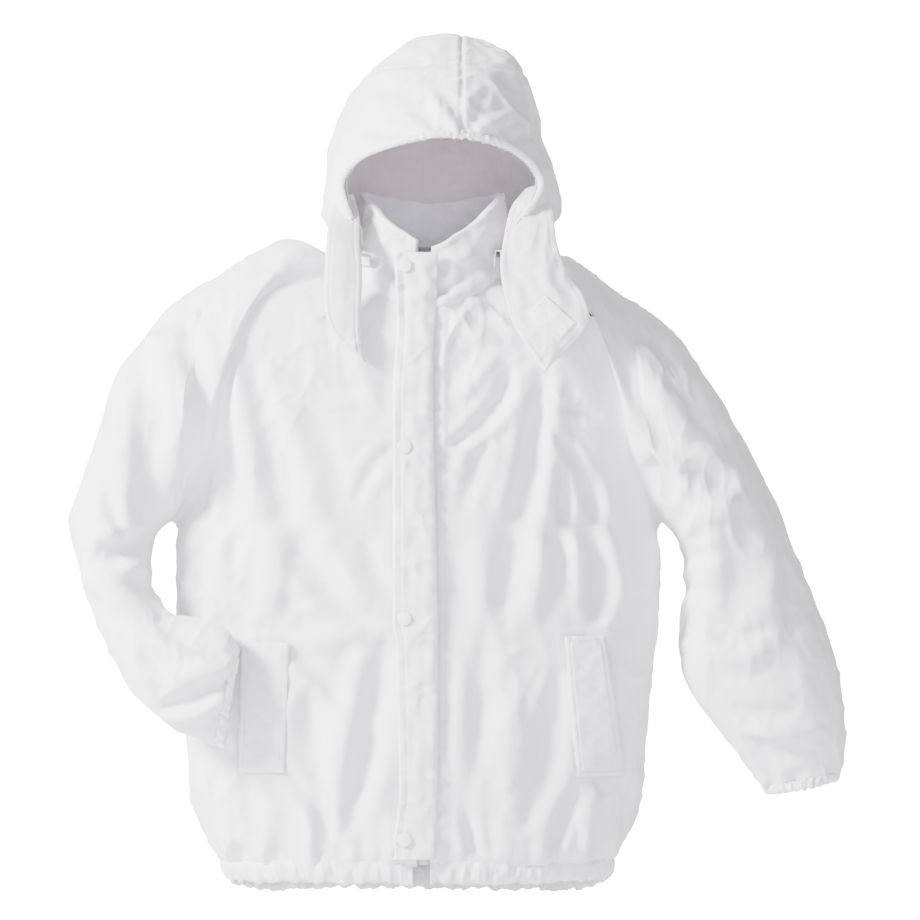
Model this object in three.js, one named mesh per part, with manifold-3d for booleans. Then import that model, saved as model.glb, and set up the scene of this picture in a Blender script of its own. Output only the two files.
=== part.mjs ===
// Padded beekeeping jacket: raglan sleeves, zip-on hood, storm placket over a front zip.
// Millimetres, +Z up, front towards -Y. "Left" is the -X side, seen from the front.
// Stations are drawn from the hem (z = 0); the finished group is shifted so that the
// hanger loop at the back of the neck is the origin.
import * as THREE from 'three';
import { mergeVertices } from 'three/addons/utils/BufferGeometryUtils.js';
import Module from 'manifold-3d';

const wasm = await Module();
wasm.setup();

// ---------- Driving dimensions ----------
const chestWidth = 569;        // side seam to side seam
const backLength = 742;        // hem to hanger loop
const chestDepth = 236;        // front zip to back
const base = { width: 569, depth: 236, length: 742 };   // size that the stations are drawn for
const clearance = 0.4;         // between pieces that meet
const shellThickness = 6;      // padded outer shell
const liningThickness = 2;
const liningGap = 3 * Math.max(1, chestWidth / base.width);   // wider panels bow further between rows
const sectionPower = 2.4;      // roundness of the body section
const seamShare = 0.026;       // share of a panel's width left open along a seam

const zipX = 4;                // front zip line
const zipTopZ = 724;
const zipBottomZ = 27;
const zipOpening = 16;         // gap between the front edges
const tapeWidth = 14;
const tapeThickness = 0.8;
const toothReach = 3.2;
const toothGap = 0.9;
const toothThickness = 3.2;
const sliderLength = 14;
const sliderWidth = 11;
const sliderPlate = 1.2;
const pullLength = 22;
const hoodPullLength = 11;
const lugReach = 3.4;
const eyeHalf = 1.05;          // half height and depth of the eye that holds a pull

const placketWidth = 51;
const placketSeamX = 20;
const placketTopZ = 731;
const placketBottomZ = 33;
const placketThickness = 5;
const placketStandoff = 4.5;
const snapHeights = [56, 310, 508, 716];
const snapX = -18;
const snapRadius = 8;
const snapPostRadius = 2;

const neckX = 14;
const neckY = -15;
const neckRadius = 88;
const collarThickness = 5;
const facingThickness = 2.5;
const hoodZipRadius = 100;
const hoodZipSlope = 0.195;
const hoodZipMidZ = 741;
const hoodZipStart = 46;       // degrees from the front, right side
const hoodZipEnd = 314;

const hemCasingTop = 24;
const hemCasingDepth = 9;
const elasticThickness = 1.2;
const cuffBand = 0.045;        // share of the sleeve's length

const pocketLift = 18;         // how far the open edge stands off the front
const pocketSlit = 12;
// Welt corners: inner and outer x at the bottom and at the top, then bottom and top z.
const pockets = {
  left: { inner: [-157, -151], outer: [-209, -205], bottom: 132, top: 282 },
  right: { inner: [181, 167], outer: [237, 213], bottom: 127, top: 289 },
};
const bagReach = 76;
const bagDepth = 40;
const bagWall = 2;

const loopZ = base.length;
const loopThickness = 2;

// ---------- Shared helpers ----------
const rad = THREE.MathUtils.degToRad;
const lerp = THREE.MathUtils.lerp;
const grade = new THREE.Vector3(chestWidth / base.width, chestDepth / base.depth, backLength / base.length);
const graded = (x, y, z) => new THREE.Vector3(x, y, z).multiply(grade);

// Smooth curve of rows of numbers, one row per equal step of t from 0 to 1.
function track(rows) {
  return (t) => {
    const place = THREE.MathUtils.clamp(t, 0, 1) * (rows.length - 1);
    const i = Math.min(Math.floor(place), rows.length - 2);
    const f = place - i;
    const before = rows[Math.max(i - 1, 0)];
    const after = rows[Math.min(i + 2, rows.length - 1)];
    return rows[i].map((a, k) => {
      const b = rows[i + 1][k];
      const slopeA = (b - before[k]) / (i === 0 ? 1 : 2);
      const slopeB = (after[k] - a) / (i + 2 > rows.length - 1 ? 1 : 2);
      const h = f * f * (3 - 2 * f);
      return a + (b - a) * h + slopeA * f * (1 - f) * (1 - f) - slopeB * f * f * (1 - f);
    });
  };
}

// Value at x from [x, value] pairs in rising order.
function graph(pairs) {
  return (x) => {
    let i = 0;
    while (i < pairs.length - 2 && x > pairs[i + 1][0]) i += 1;
    const f = THREE.MathUtils.clamp((x - pairs[i][0]) / (pairs[i + 1][0] - pairs[i][0]), 0, 1);
    return lerp(pairs[i][1], pairs[i + 1][1], f);
  };
}

function closedGeometry(points, faces) {
  const geometry = new THREE.BufferGeometry();
  geometry.setAttribute('position', new THREE.Float32BufferAttribute(points.flatMap((p) => p.toArray()), 3));
  const kept = faces.filter(([a, b, c]) => {
    const shortest = Math.min(
      points[a].distanceTo(points[b]), points[b].distanceTo(points[c]), points[c].distanceTo(points[a]));
    return shortest > 0.01;
  });
  geometry.setIndex(kept.flat());
  return mergeVertices(geometry, 0.002);
}

function signedVolume(points, faces) {
  return faces.reduce((sum, [a, b, c]) => sum + points[a].dot(points[b].clone().cross(points[c])), 0) / 6;
}

function normalAt(surface, u, v, closed) {
  const step = 0.004;
  const uLow = closed ? u - step : Math.max(u - step, 0);
  const uHigh = closed ? u + step : Math.min(u + step, 1);
  const vSafe = THREE.MathUtils.clamp(v, 2 * step, 1 - 2 * step);
  const alongU = surface(uHigh, vSafe).sub(surface(uLow, vSafe));
  const alongV = surface(u, vSafe + step).sub(surface(u, vSafe - step));
  return alongU.cross(alongV).normalize();
}

// Closed solid between a surface and its copy moved inward; outward is +1 or -1 along u x v.
function sheet(surface, { across, along, thickness, inset = 0, outward = 1, closed = false }) {
  const columns = closed ? across : across + 1;
  const points = [];
  for (const depth of [inset, inset + thickness]) {
    for (let j = 0; j <= along; j += 1) {
      for (let i = 0; i < columns; i += 1) {
        const normal = normalAt(surface, i / across, j / along, closed);
        points.push(surface(i / across, j / along).addScaledVector(normal, -outward * depth));
      }
    }
  }
  const layer = columns * (along + 1);
  const at = (side, i, j) => side * layer + j * columns + (i % columns);
  const faces = [];
  const quad = (a, b, c, d) => faces.push([a, b, c], [a, c, d]);
  for (let i = 0; i < across; i += 1) {
    for (let j = 0; j < along; j += 1) {
      quad(at(0, i, j), at(0, i + 1, j), at(0, i + 1, j + 1), at(0, i, j + 1));
      quad(at(1, i, j), at(1, i, j + 1), at(1, i + 1, j + 1), at(1, i + 1, j));
    }
    quad(at(0, i, 0), at(1, i, 0), at(1, i + 1, 0), at(0, i + 1, 0));
    quad(at(0, i, along), at(0, i + 1, along), at(1, i + 1, along), at(1, i, along));
  }
  for (let j = 0; j < along && !closed; j += 1) {
    quad(at(0, 0, j), at(0, 0, j + 1), at(1, 0, j + 1), at(1, 0, j));
    quad(at(0, across, j), at(1, across, j), at(1, across, j + 1), at(0, across, j + 1));
  }
  if (signedVolume(points, faces) < 0) faces.forEach((face) => face.reverse());
  return closedGeometry(points, faces);
}

// The same surface over a smaller part of its range.
const trimmed = (surface, u0, u1, v0, v1) => (u, v) => surface(lerp(u0, u1, u), lerp(v0, v1, v));

function toSolid(geometry) {
  const plain = geometry.clone();
  plain.deleteAttribute('normal');
  plain.deleteAttribute('uv');
  const merged = mergeVertices(plain, 0.002);
  return new wasm.Manifold(new wasm.Mesh({
    numProp: 3,
    vertProperties: new Float32Array(merged.attributes.position.array),
    triVerts: new Uint32Array(merged.index.array),
  }));
}

function fromSolid(solid) {
  const mesh = solid.getMesh();
  const geometry = new THREE.BufferGeometry();
  geometry.setAttribute('position', new THREE.BufferAttribute(new Float32Array(mesh.vertProperties), 3));
  geometry.setIndex(Array.from(mesh.triVerts));
  return geometry;
}

function boxBetween(low, high) {
  const box = new THREE.BoxGeometry(high[0] - low[0], high[1] - low[1], high[2] - low[2]);
  return box.translate((low[0] + high[0]) / 2, (low[1] + high[1]) / 2, (low[2] + high[2]) / 2);
}

const cut = (geometry, ...tools) => fromSolid(tools.reduce((s, t) => s.subtract(toSolid(t)), toSolid(geometry)));
const common = (geometry, tool) => fromSolid(toSolid(geometry).intersect(toSolid(tool)));
const joined = (first, ...rest) => fromSolid(rest.reduce((s, t) => s.add(toSolid(t)), toSolid(first)));

const cloth = { color: 0xe9e7ef, roughness: 0.85, metalness: 0 };
const lining = { color: 0xbdb4bc, roughness: 0.9, metalness: 0 };
const rubber = { color: 0xd8d4cc, roughness: 0.8, metalness: 0 };
const metal = { color: 0x9b9a9c, roughness: 0.35, metalness: 0.9 };
const snapFinish = { color: 0xe6e3e4, roughness: 0.4, metalness: 0 };
const tape = { color: 0xd9d5da, roughness: 0.85, metalness: 0 };
const hook = { color: 0xe3e1e8, roughness: 0.95, metalness: 0 };

const jacket = new THREE.Group();
jacket.position.copy(graded(-neckX, -(neckY + neckRadius - 15), -loopZ));

function piece(name, geometry, finish, parent = jacket) {
  const mesh = new THREE.Mesh(geometry, new THREE.MeshStandardMaterial(finish));
  mesh.name = name;
  parent.add(mesh);
  return mesh;
}

// ---------- Body outline ----------
const bodyX = -4;
const bodyHalfWidth = graph([[0, 222], [25, 228], [50, 246], [100, 261], [170, 268], [290, 280], [415, 284]]);
const frontY = (z) => -118 + 0.02 * z;
const backY = graph([[0, 96], [50, 108], [200, 116], [420, 124], [560, 124], [650, 112], [700, 94], [745, 74]]);
const underarmZ = 415;
const hemZ = hemCasingTop + 1;

// Raglan shoulder stations from underarm to neck:
// top x, top z, front seam x, front seam z, middle y, half depth, seam angle.
const shoulders = {
  left: track([
    [-245, 703, -288, 415, 0, 104, -90],
    [-219, 719, -250, 478, 0, 104, -64],
    [-190, 735, -239, 548, -2, 102, -44],
    [-160, 749, -222, 612, -5, 96, -27],
    [-128, 744, -180, 692, -10, 76, -12],
    [-74, 714, -70, 708, -15, 30, 0],
  ]),
  right: track([
    [236, 684, 280, 415, 0, 104, -90],
    [212, 702, 250, 482, 0, 104, -64],
    [188, 719, 236, 545, -2, 102, -44],
    [164, 731, 216, 622, -5, 96, -27],
    [131, 733, 179, 689, -10, 76, -12],
    [102, 714, 98, 708, -15, 30, 0],
  ]),
};

// Point of the shoulder band: angle runs from the front seam over the top to the back seam.
function shoulderPoint(side, w, turn) {
  const [topX, topZ, seamX, seamZ, middleY, depth, seamAngle] = shoulders[side](w);
  const lift = 1 - Math.sin(rad(seamAngle));
  const armX = (topX - seamX) / lift;
  const armZ = (topZ - seamZ) / lift;
  const angle = rad(lerp(seamAngle, 180 - seamAngle, turn));
  return graded(
    topX - armX + Math.sin(angle) * armX,
    middleY - Math.cos(angle) * depth,
    topZ - armZ + Math.sin(angle) * armZ,
  );
}

// Edge of a body panel: side seam below the underarm, raglan seam above it.
function panelEdge(side, v, back) {
  if (v > 0.5) return shoulderPoint(side, 2 * v - 1, back ? 1 : 0);
  const z = lerp(hemZ, underarmZ, 2 * v);
  const reach = bodyHalfWidth(z);
  return graded(side === 'left' ? bodyX - reach : bodyX + reach, 0, z);
}

function panelPoint(side, u, v, back) {
  const edge = panelEdge(side, v, back);
  const upper = Math.max(2 * v - 1, 0);
  const topZ = back ? 734 : 672;
  const z = v > 0.5 ? lerp(underarmZ, topZ, upper) : lerp(hemZ, underarmZ, 2 * v);
  const x = back ? lerp(bodyX, neckX, upper * upper) : zipX + (side === 'left' ? -1 : 1) * zipOpening / 2;
  const centre = graded(x, back ? backY(z) : frontY(z), z);
  const widest = rad(lerp(90, 48, Math.sqrt(upper)));
  const angle = u * widest;
  const power = 2 / sectionPower;
  const out = (a) => Math.sin(a) ** power;
  const fore = (a) => Math.max(Math.cos(a), 0) ** power;
  const across = out(angle) / out(widest);
  const drop = (fore(angle) - fore(widest)) / (1 - fore(widest));
  return new THREE.Vector3(
    lerp(centre.x, edge.x, across),
    lerp(edge.y, centre.y, drop),
    lerp(centre.z, edge.z, across * across),
  );
}

const frontSurface = (side) => (u, v) => panelPoint(side, u, v, false);
const backSurface = (u, v) => panelPoint(u < 0.5 ? 'left' : 'right', Math.abs(2 * u - 1), v, true);

// Depth of the front surface below the underarm, at x from the middle and height z.
function frontDepth(x, z) {
  const side = Math.min(Math.abs(x - bodyX) / bodyHalfWidth(z), 1);
  return frontY(z) * (1 - side ** sectionPower) ** (1 / sectionPower);
}

// Block that opens the slit behind the welt's outer edge, leaning as the welt does.
function slitTool(side) {
  const { outer, bottom, top } = pockets[side];
  const toward = side === 'left' ? 1 : -1;
  const corner = (k, shift) => (outer[k] + toward * shift) * grade.x;
  const outline = new THREE.Shape([
    new THREE.Vector2(corner(0, 2), (bottom + 9) * grade.z),
    new THREE.Vector2(corner(0, 2 + pocketSlit), (bottom + 9) * grade.z),
    new THREE.Vector2(corner(1, 2 + pocketSlit), (top - 9) * grade.z),
    new THREE.Vector2(corner(1, 2), (top - 9) * grade.z),
  ]);
  const block = new THREE.ExtrudeGeometry(outline, { depth: 110, bevelEnabled: false });
  return block.rotateX(Math.PI / 2).translate(0, -30 * grade.y, 0);
}

const rowsPerHalf = 6;         // rows below and above the underarm, shared by all body panels
const neckShare = 0.485;       // upper half's reach, short of the collar seam

// Part of a body surface that uses the shared rows, up to some of the rows above the underarm.
function bodyRange(surface, u0, u1, low, upperRows) {
  const split = rowsPerHalf / (rowsPerHalf + upperRows);
  const high = 0.5 + neckShare * upperRows / rowsPerHalf;
  return (u, v) => surface(lerp(u0, u1, u), v < split
    ? lerp(low, 0.5, v / split) : lerp(0.5, high, (v - split) / (1 - split)));
}

function makeBodyPanels() {
  const along = 2 * rowsPerHalf;
  const liningRows = 4;
  const liningAlong = rowsPerHalf + liningRows;
  const inset = shellThickness + liningGap;
  for (const [side, outward] of [['left', -1], ['right', 1]]) {
    const front = frontSurface(side);
    const shell = sheet(bodyRange(front, 0, 1 - seamShare, 0.002, rowsPerHalf),
      { across: 9, along, thickness: shellThickness, outward });
    piece(`front_panel_${side}`, cut(shell, slitTool(side)), cloth);
    const inner = sheet(bodyRange(front, 0.16, 0.955, 0.1, liningRows),
      { across: 7, along: liningAlong, thickness: liningThickness, inset, outward });
    piece(`front_lining_${side}`, cut(inner, slitTool(side)), lining);
    const band = (u, v) => shoulderPoint(side, v, u);
    piece(`raglan_shoulder_${side}`, sheet(trimmed(band, 1.8 * seamShare, 1 - 1.8 * seamShare, 0, 2 * neckShare),
      { across: 12, along: rowsPerHalf, thickness: shellThickness, outward }), cloth);
  }
  piece('back_panel', sheet(bodyRange(backSurface, seamShare / 2, 1 - seamShare / 2, 0.002, rowsPerHalf),
    { across: 16, along, thickness: shellThickness, outward: -1 }), cloth);
  piece('back_lining', sheet(bodyRange(backSurface, 0.03, 0.97, 0.1, liningRows),
    { across: 16, along: liningAlong, thickness: liningThickness, inset, outward: -1 }), lining);
}

// ---------- Hem ----------
function hemPoint(turn, inward, z) {
  const reach = bodyHalfWidth(z) - inward;
  const start = Math.asin(((zipX + zipOpening / 2 - bodyX) / reach) ** (sectionPower / 2));
  const finish = 2 * Math.PI - Math.asin((Math.abs(zipX - zipOpening / 2 - bodyX + 4) / reach) ** (sectionPower / 2));
  const angle = lerp(start, finish, turn);
  const power = 2 / sectionPower;
  const x = Math.sign(Math.sin(angle)) * Math.abs(Math.sin(angle)) ** power;
  const y = -Math.sign(Math.cos(angle)) * Math.abs(Math.cos(angle)) ** power;
  const depth = (y < 0 ? -frontY(z) : backY(z)) - inward;
  return graded(bodyX + x * reach, y * depth, z);
}

function makeHem() {
  const casing = (u, v) => {
    const fold = THREE.MathUtils.clamp((v - 0.4) / 0.2, 0, 1) * Math.PI;
    const rise = v < 0.4 ? (0.4 - v) / 0.4 : Math.max(v - 0.6, 0) / 0.4;
    const radius = hemCasingDepth / 2;
    const z = radius + 1 - radius * Math.sin(fold) + rise * (hemCasingTop - radius - 1);
    return hemPoint(u, radius - radius * Math.cos(fold), z);
  };
  piece('hem_casing', sheet(casing, { across: 20, along: 6, thickness: 2, outward: -1 }), cloth);
  const band = (u, v) => hemPoint(lerp(0.01, 0.99, u), hemCasingDepth / 2, lerp(9, 20, v));
  piece('hem_elastic', sheet(band, { across: 20, along: 1, thickness: elasticThickness }), rubber);
}

// ---------- Front zip and placket ----------
const zipY = (z) => frontY(z) + shellThickness + clearance + tapeThickness / 2;
const zipTilt = Math.atan(0.02 * grade.y / grade.z);

// Box along the zip line: x range, y range from the tape's middle, z range at the drawn length.
function zipBar(x0, x1, y0, y1, z0, z1) {
  const bar = boxBetween([x0, y0, z0 - zipBottomZ], [x1, y1, z1 - zipBottomZ]);
  bar.applyMatrix4(new THREE.Matrix4().makeRotationX(-zipTilt));
  const foot = graded(zipX, zipY(zipBottomZ), zipBottomZ);
  return bar.translate(foot.x, foot.y, foot.z);
}

function zipHalf(side, sign) {
  const length = zipTopZ * grade.z - zipBottomZ * grade.z;
  const x0 = toothReach + clearance;
  const pick = (a, b) => (sign > 0 ? [a, b] : [-b, -a]);
  const [t0, t1] = pick(x0, tapeWidth);
  const half = tapeThickness / 2;
  piece(`zip_tape_${side}`, zipBar(t0, t1, -half, half, zipBottomZ, zipBottomZ + length), tape);
  const [k0, k1] = pick(toothGap, toothReach);
  const thick = toothThickness / 2;
  piece(`zip_teeth_${side}`, zipBar(k0, k1, -thick, thick, zipBottomZ + 8, zipBottomZ + length - 6), metal);
  const [s0, s1] = pick(toothGap, toothReach + 0.2);
  const topStop = zipBar(s0, s1, -thick - 0.2, thick + 0.2, zipBottomZ, zipBottomZ + 4);
  const shift = new THREE.Vector3(0, Math.sin(zipTilt), Math.cos(zipTilt)).multiplyScalar(length - 5.4);
  piece(`zip_top_stop_${side}`, topStop.translate(shift.x, shift.y, shift.z), metal);
}

function makeFrontZip() {
  zipHalf('left', -1);
  zipHalf('right', 1);
  const box = zipBar(-4.6, 4.6, -2.6, 2.6, zipBottomZ - 1, zipBottomZ + 7);
  const room = zipBar(toothReach + 0.2, 6, -0.8, 0.8, zipBottomZ - 4, zipBottomZ + 12);
  const mirrored = zipBar(-6, -toothReach - 0.2, -0.8, 0.8, zipBottomZ - 4, zipBottomZ + 12);
  piece('zip_retainer_box', cut(box, room, mirrored), metal);
  makeSlider();
}

// Slider at rest near the top stop: two plates and a web that runs between the tooth rows.
const sliderZ = zipTopZ - 6 - 5 - sliderLength / 2;

function makeSlider() {
  const z0 = -sliderLength / 2;
  const z1 = sliderLength / 2;
  const w = sliderWidth / 2;
  const face = toothThickness / 2 + clearance + 0.1;
  const back = face + sliderPlate;
  const web = toothGap - clearance;
  const eyeY = -back - lugReach / 2 + 0.1;
  const body = joined(
    boxBetween([-w, -back, z0], [w, -face, z1]),
    boxBetween([-w, face, z0], [w, back, z1]),
    boxBetween([-web, -back + 0.2, z0], [web, back - 0.2, z1]),
    boxBetween([-1.5, -back - lugReach, -3], [1.5, -back + 0.2, 3]));
  const eye = boxBetween([-3, eyeY - eyeHalf, -eyeHalf], [3, eyeY + eyeHalf, eyeHalf]);
  const group = new THREE.Group();
  const place = graded(zipX, zipY(sliderZ), sliderZ);
  group.position.copy(place);
  group.rotation.x = -zipTilt;
  jacket.add(group);
  piece('zip_slider', cut(body, eye), metal, group);
  piece('zip_pull', pullPlate(eyeY, pullLength), metal, group);
}

// Flat tab that hangs from a slider's eye: its top bar passes through the eye.
function pullPlate(eyeY, length) {
  const bar = 0.55;
  const plate = boxBetween([-3.6, eyeY - bar, -length], [3.6, eyeY + bar, bar]);
  const window = boxBetween([-2, eyeY - 2, -4.4], [2, eyeY + 2, -bar]);
  const hole = boxBetween([-1.6, eyeY - 2, -length + 2.5], [1.6, eyeY + 2, -length + 6]);
  return cut(plate, window, hole);
}

function makePlacket() {
  const yFront = (z) => frontY(z) - placketStandoff;
  const flap = (u, v) => {
    const z = lerp(placketBottomZ, placketTopZ, v);
    const spot = graded(placketSeamX, yFront(z) - placketThickness, z);
    return spot.add(new THREE.Vector3(-placketWidth * (1 - u), 0, 0));
  };
  const cloths = sheet(flap, { across: 3, along: 10, thickness: placketThickness });
  const bores = [];
  const hole = snapPostRadius + clearance;
  for (const [index, z] of snapHeights.entries()) {
    const centre = graded(snapX, frontY(z), z);
    const bore = new THREE.CylinderGeometry(hole, hole, 30, 10);
    bores.push(bore.translate(centre.x, centre.y, centre.z));
    const face = placketStandoff + placketThickness + clearance;
    const back = placketStandoff - clearance;
    const capProfile = [
      [0, face + 2.4], [snapRadius * 0.7, face + 2.2], [snapRadius, face + 1.2], [snapRadius, face],
      [snapPostRadius, face], [snapPostRadius, back], [5, back], [5, back - 1.2], [0, back - 1.2],
    ].map(([r, h]) => new THREE.Vector2(r, -h));
    const cap = new THREE.LatheGeometry(capProfile.reverse(), 12);
    cap.translate(centre.x, centre.y, centre.z);
    piece(`snap_cap_${index + 1}`, cleanLathe(cap), snapFinish);
    const studProfile = [[0, 1.9], [1.5, 1.9], [1.5, 1.5], [5.2, 1.5], [5.2, clearance], [0, clearance]]
      .map(([r, h]) => new THREE.Vector2(r, -h));
    const stud = new THREE.LatheGeometry(studProfile.reverse(), 10);
    stud.translate(centre.x, centre.y - 0.2, centre.z);
    piece(`snap_stud_${index + 1}`, cleanLathe(stud), metal);
  }
  piece('storm_placket', cut(cloths, ...bores), cloth);
}

// A lathe without its zero-area pole triangles, facing outward.
function cleanLathe(lathe) {
  lathe.deleteAttribute('normal');
  lathe.deleteAttribute('uv');
  const merged = mergeVertices(lathe, 0.002);
  const position = merged.attributes.position;
  const points = Array.from({ length: position.count }, (_, i) => new THREE.Vector3().fromBufferAttribute(position, i));
  const index = Array.from(merged.index.array);
  const faces = [];
  for (let i = 0; i < index.length; i += 3) faces.push(index.slice(i, i + 3));
  const real = faces.filter(([a, b, c]) => a !== b && b !== c && c !== a);
  if (signedVolume(points, real) < 0) real.forEach((face) => face.reverse());
  return closedGeometry(points, real);
}

// ---------- Collar, hood zip and hanger loop ----------
const hoodZipPlane = (y) => hoodZipMidZ + hoodZipSlope * (y - neckY);

function ringPoint(radius, degrees, z) {
  return graded(neckX + radius * Math.sin(rad(degrees)), neckY - radius * Math.cos(rad(degrees)), z);
}

function collarBase(degrees) {
  const fromFront = Math.min(degrees, 360 - degrees);
  const dip = 36 * Math.exp(-((fromFront / 32) ** 2));
  return hoodZipPlane(neckY - neckRadius * Math.cos(rad(degrees))) - dip - 6;
}

const collarTop = (degrees) => graph([[0, 737], [30, 760], [60, 788], [90, 804], [135, 801], [180, 794]])(
  Math.min(degrees, 360 - degrees));

function collarSurface(u, v) {
  const degrees = lerp(0, 360, u);
  return ringPoint(neckRadius - 5 * v, degrees, lerp(collarBase(degrees), collarTop(degrees), v));
}

function makeCollar() {
  const setback = tapeWidth + 1.5;
  const first = (zipX + setback - neckX) / neckRadius;
  const last = (zipX - setback - neckX) / neckRadius;
  const start = THREE.MathUtils.radToDeg(Math.asin(first)) / 360;
  const finish = 1 + THREE.MathUtils.radToDeg(Math.asin(last)) / 360;
  const facingSetback = 0.012;
  piece('collar_shell', sheet(trimmed(collarSurface, start + 0.004, finish - 0.004, 0.03, 0.98),
    { across: 24, along: 2, thickness: collarThickness }), cloth);
  piece('collar_facing', sheet(trimmed(collarSurface, start + facingSetback, finish - facingSetback, 0.03, 0.95),
    { across: 24, along: 2, thickness: facingThickness, inset: collarThickness + 1.2 }), lining);
}

function makeHangerLoop() {
  const top = 14;
  const half = 26;
  const legs = new THREE.Shape();
  legs.moveTo(-half, -12);
  legs.lineTo(-half, top - 8);
  legs.quadraticCurveTo(-half, top, -half + 8, top);
  legs.lineTo(half - 8, top);
  legs.quadraticCurveTo(half, top, half, top - 8);
  legs.lineTo(half, -12);
  legs.lineTo(half - 6, -12);
  legs.lineTo(half - 6, top - 8);
  legs.lineTo(-half + 6, top - 8);
  legs.lineTo(-half + 6, -12);
  legs.closePath();
  const strap = new THREE.ExtrudeGeometry(legs, { depth: loopThickness, bevelEnabled: false, curveSegments: 4 });
  strap.rotateX(Math.PI / 2);
  const spot = graded(neckX, neckY + neckRadius - 15, loopZ);
  strap.translate(spot.x, spot.y, spot.z - top + 8);
  piece('hanger_loop', strap, tape);
}

function makeHoodZip() {
  const ring = (radius, low, high) => (u, v) => {
    const degrees = lerp(hoodZipStart, hoodZipEnd, u);
    const z = hoodZipPlane(neckY - radius * Math.cos(rad(degrees)));
    return ringPoint(radius, degrees, z + lerp(low, high, v));
  };
  piece('hood_zip_tape', sheet(ring(hoodZipRadius, -12, -2.2), { across: 32, along: 1, thickness: tapeThickness }), tape);
  piece('hood_zip_teeth', sheet(ring(hoodZipRadius + 1.2, -1.6, 1.6), { across: 32, along: 1, thickness: 3.2 }), metal);
  const group = new THREE.Group();
  const degrees = hoodZipStart + 7;
  const spot = ringPoint(hoodZipRadius - 0.4, degrees, hoodZipPlane(neckY - hoodZipRadius * Math.cos(rad(degrees))));
  group.position.copy(spot);
  group.rotation.z = rad(degrees);
  jacket.add(group);
  const gap = 3.2;
  const clip = cut(
    boxBetween([-6, -gap - 1.2, -3.6], [6, gap + 1.2, 5]),
    boxBetween([-7, -gap, -5], [7, gap, 3.6]));
  const eyeY = -gap - 1.2 - lugReach / 2 + 0.1;
  const lug = boxBetween([-1.5, -gap - 1.2 - lugReach, -3], [1.5, -gap - 1, 3]);
  const eye = boxBetween([-3, eyeY - eyeHalf, -eyeHalf], [3, eyeY + eyeHalf, eyeHalf]);
  piece('hood_zip_slider', cut(joined(clip, lug), eye), metal, group);
  piece('hood_zip_pull', pullPlate(eyeY, hoodPullLength), tape, group);
}

// ---------- Hood ----------
// z, middle x, half width, front y, back y from the neck up to the crown.
const hoodStations = track([
  [748, 16, 106, -121, 93],
  [763, 23, 127, -129, 109],
  [785, 26, 139, -134, 121],
  [826, 24, 135, -134, 130],
  [866, 19, 123, -126, 130],
  [905, 23, 112, -106, 121],
  [938, 30, 96, -78, 100],
  [963, 33, 72, -46, 72],
  [981, 30, 44, -16, 43],
  [988, 26, 20, 0, 23],
  [990, 26, 0.4, 10, 12],
]);

function hoodSurface(u, v) {
  const [z, middle, half, front, back] = hoodStations(v);
  const degrees = 360 * u;
  const y = (front + back) / 2 - Math.cos(rad(degrees)) * (back - front) / 2;
  const tilt = Math.max(0, 1 - v * 4) * hoodZipSlope * (y - neckY);
  return graded(middle + Math.sin(rad(degrees)) * half, y, z + tilt);
}

function faceOpening() {
  const outline = [
    [-74, 640], [-74, 756], [-88, 792], [-90, 818], [-68, 842], [-22, 858], [22, 866],
    [68, 863], [108, 850], [136, 824], [136, 796], [104, 756], [104, 640],
  ].map(([x, z]) => new THREE.Vector2(x * grade.x, z * grade.z));
  const prism = new THREE.ExtrudeGeometry(new THREE.Shape(outline), { depth: 400, bevelEnabled: false });
  prism.rotateX(Math.PI / 2);
  return prism.translate(0, -20 * grade.y, 0);
}

function makeHood() {
  const opening = faceOpening();
  const dome = cut(sheet(hoodSurface, { across: 24, along: 11, thickness: 5, closed: true }), opening);
  const seam = 20 * grade.x;
  const behind = 34 * grade.y;
  const far = 900;
  const half = clearance / 2;
  piece('hood_panel_left', common(dome, boxBetween([-far, -far, 0], [seam - half, behind - half, 2 * far])), cloth);
  piece('hood_panel_right', common(dome, boxBetween([seam + half, -far, 0], [far, behind - half, 2 * far])), cloth);
  piece('hood_back_panel', common(dome, boxBetween([-far, behind + half, 0], [far, far, 2 * far])), cloth);
  const inner = sheet(trimmed(hoodSurface, 0, 1, 0.03, 0.92),
    { across: 20, along: 9, thickness: liningThickness, inset: 5 + liningGap, closed: true });
  piece('hood_lining', cut(inner, opening), lining);
  makeBrim();
}

// Elastic casing along the top of the face opening.
function makeBrim() {
  const line = new THREE.CatmullRomCurve3([
    [-81, -77, 812], [-62, -99, 834], [-22, -123, 849], [22, -130, 857],
    [66, -122, 854], [102, -97, 842], [127, -74, 820],
  ].map((p) => graded(...p)));
  const tube = (radius) => (u, v) => {
    const middle = line.getPointAt(v);
    const tangent = line.getTangentAt(v);
    const side = new THREE.Vector3(0, 0, 1).cross(tangent).normalize();
    const up = tangent.clone().cross(side);
    const angle = 2 * Math.PI * u;
    return middle.addScaledVector(side, radius * Math.cos(angle)).addScaledVector(up, radius * Math.sin(angle));
  };
  piece('hood_brim_casing', sheet(tube(5.5), { across: 8, along: 12, thickness: 1.5, closed: true, outward: -1 }), cloth);
  const cordRadius = 2;
  const section = new THREE.Shape();
  section.absarc(0, 0, cordRadius, 0, 2 * Math.PI);
  piece('hood_brim_elastic', new THREE.ExtrudeGeometry(section,
    { steps: 14, curveSegments: 4, bevelEnabled: false, extrudePath: line }), rubber);
}

// ---------- Chin flaps ----------
// Rows from the top down: inner x, inner z, outer x, outer z.
function flapSurface(rows, y) {
  const rim = track(rows);
  return (u, v) => {
    const [innerX, innerZ, outerX, outerZ] = rim(v);
    return graded(lerp(innerX, outerX, u), y, lerp(innerZ, outerZ, u));
  };
}

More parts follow.
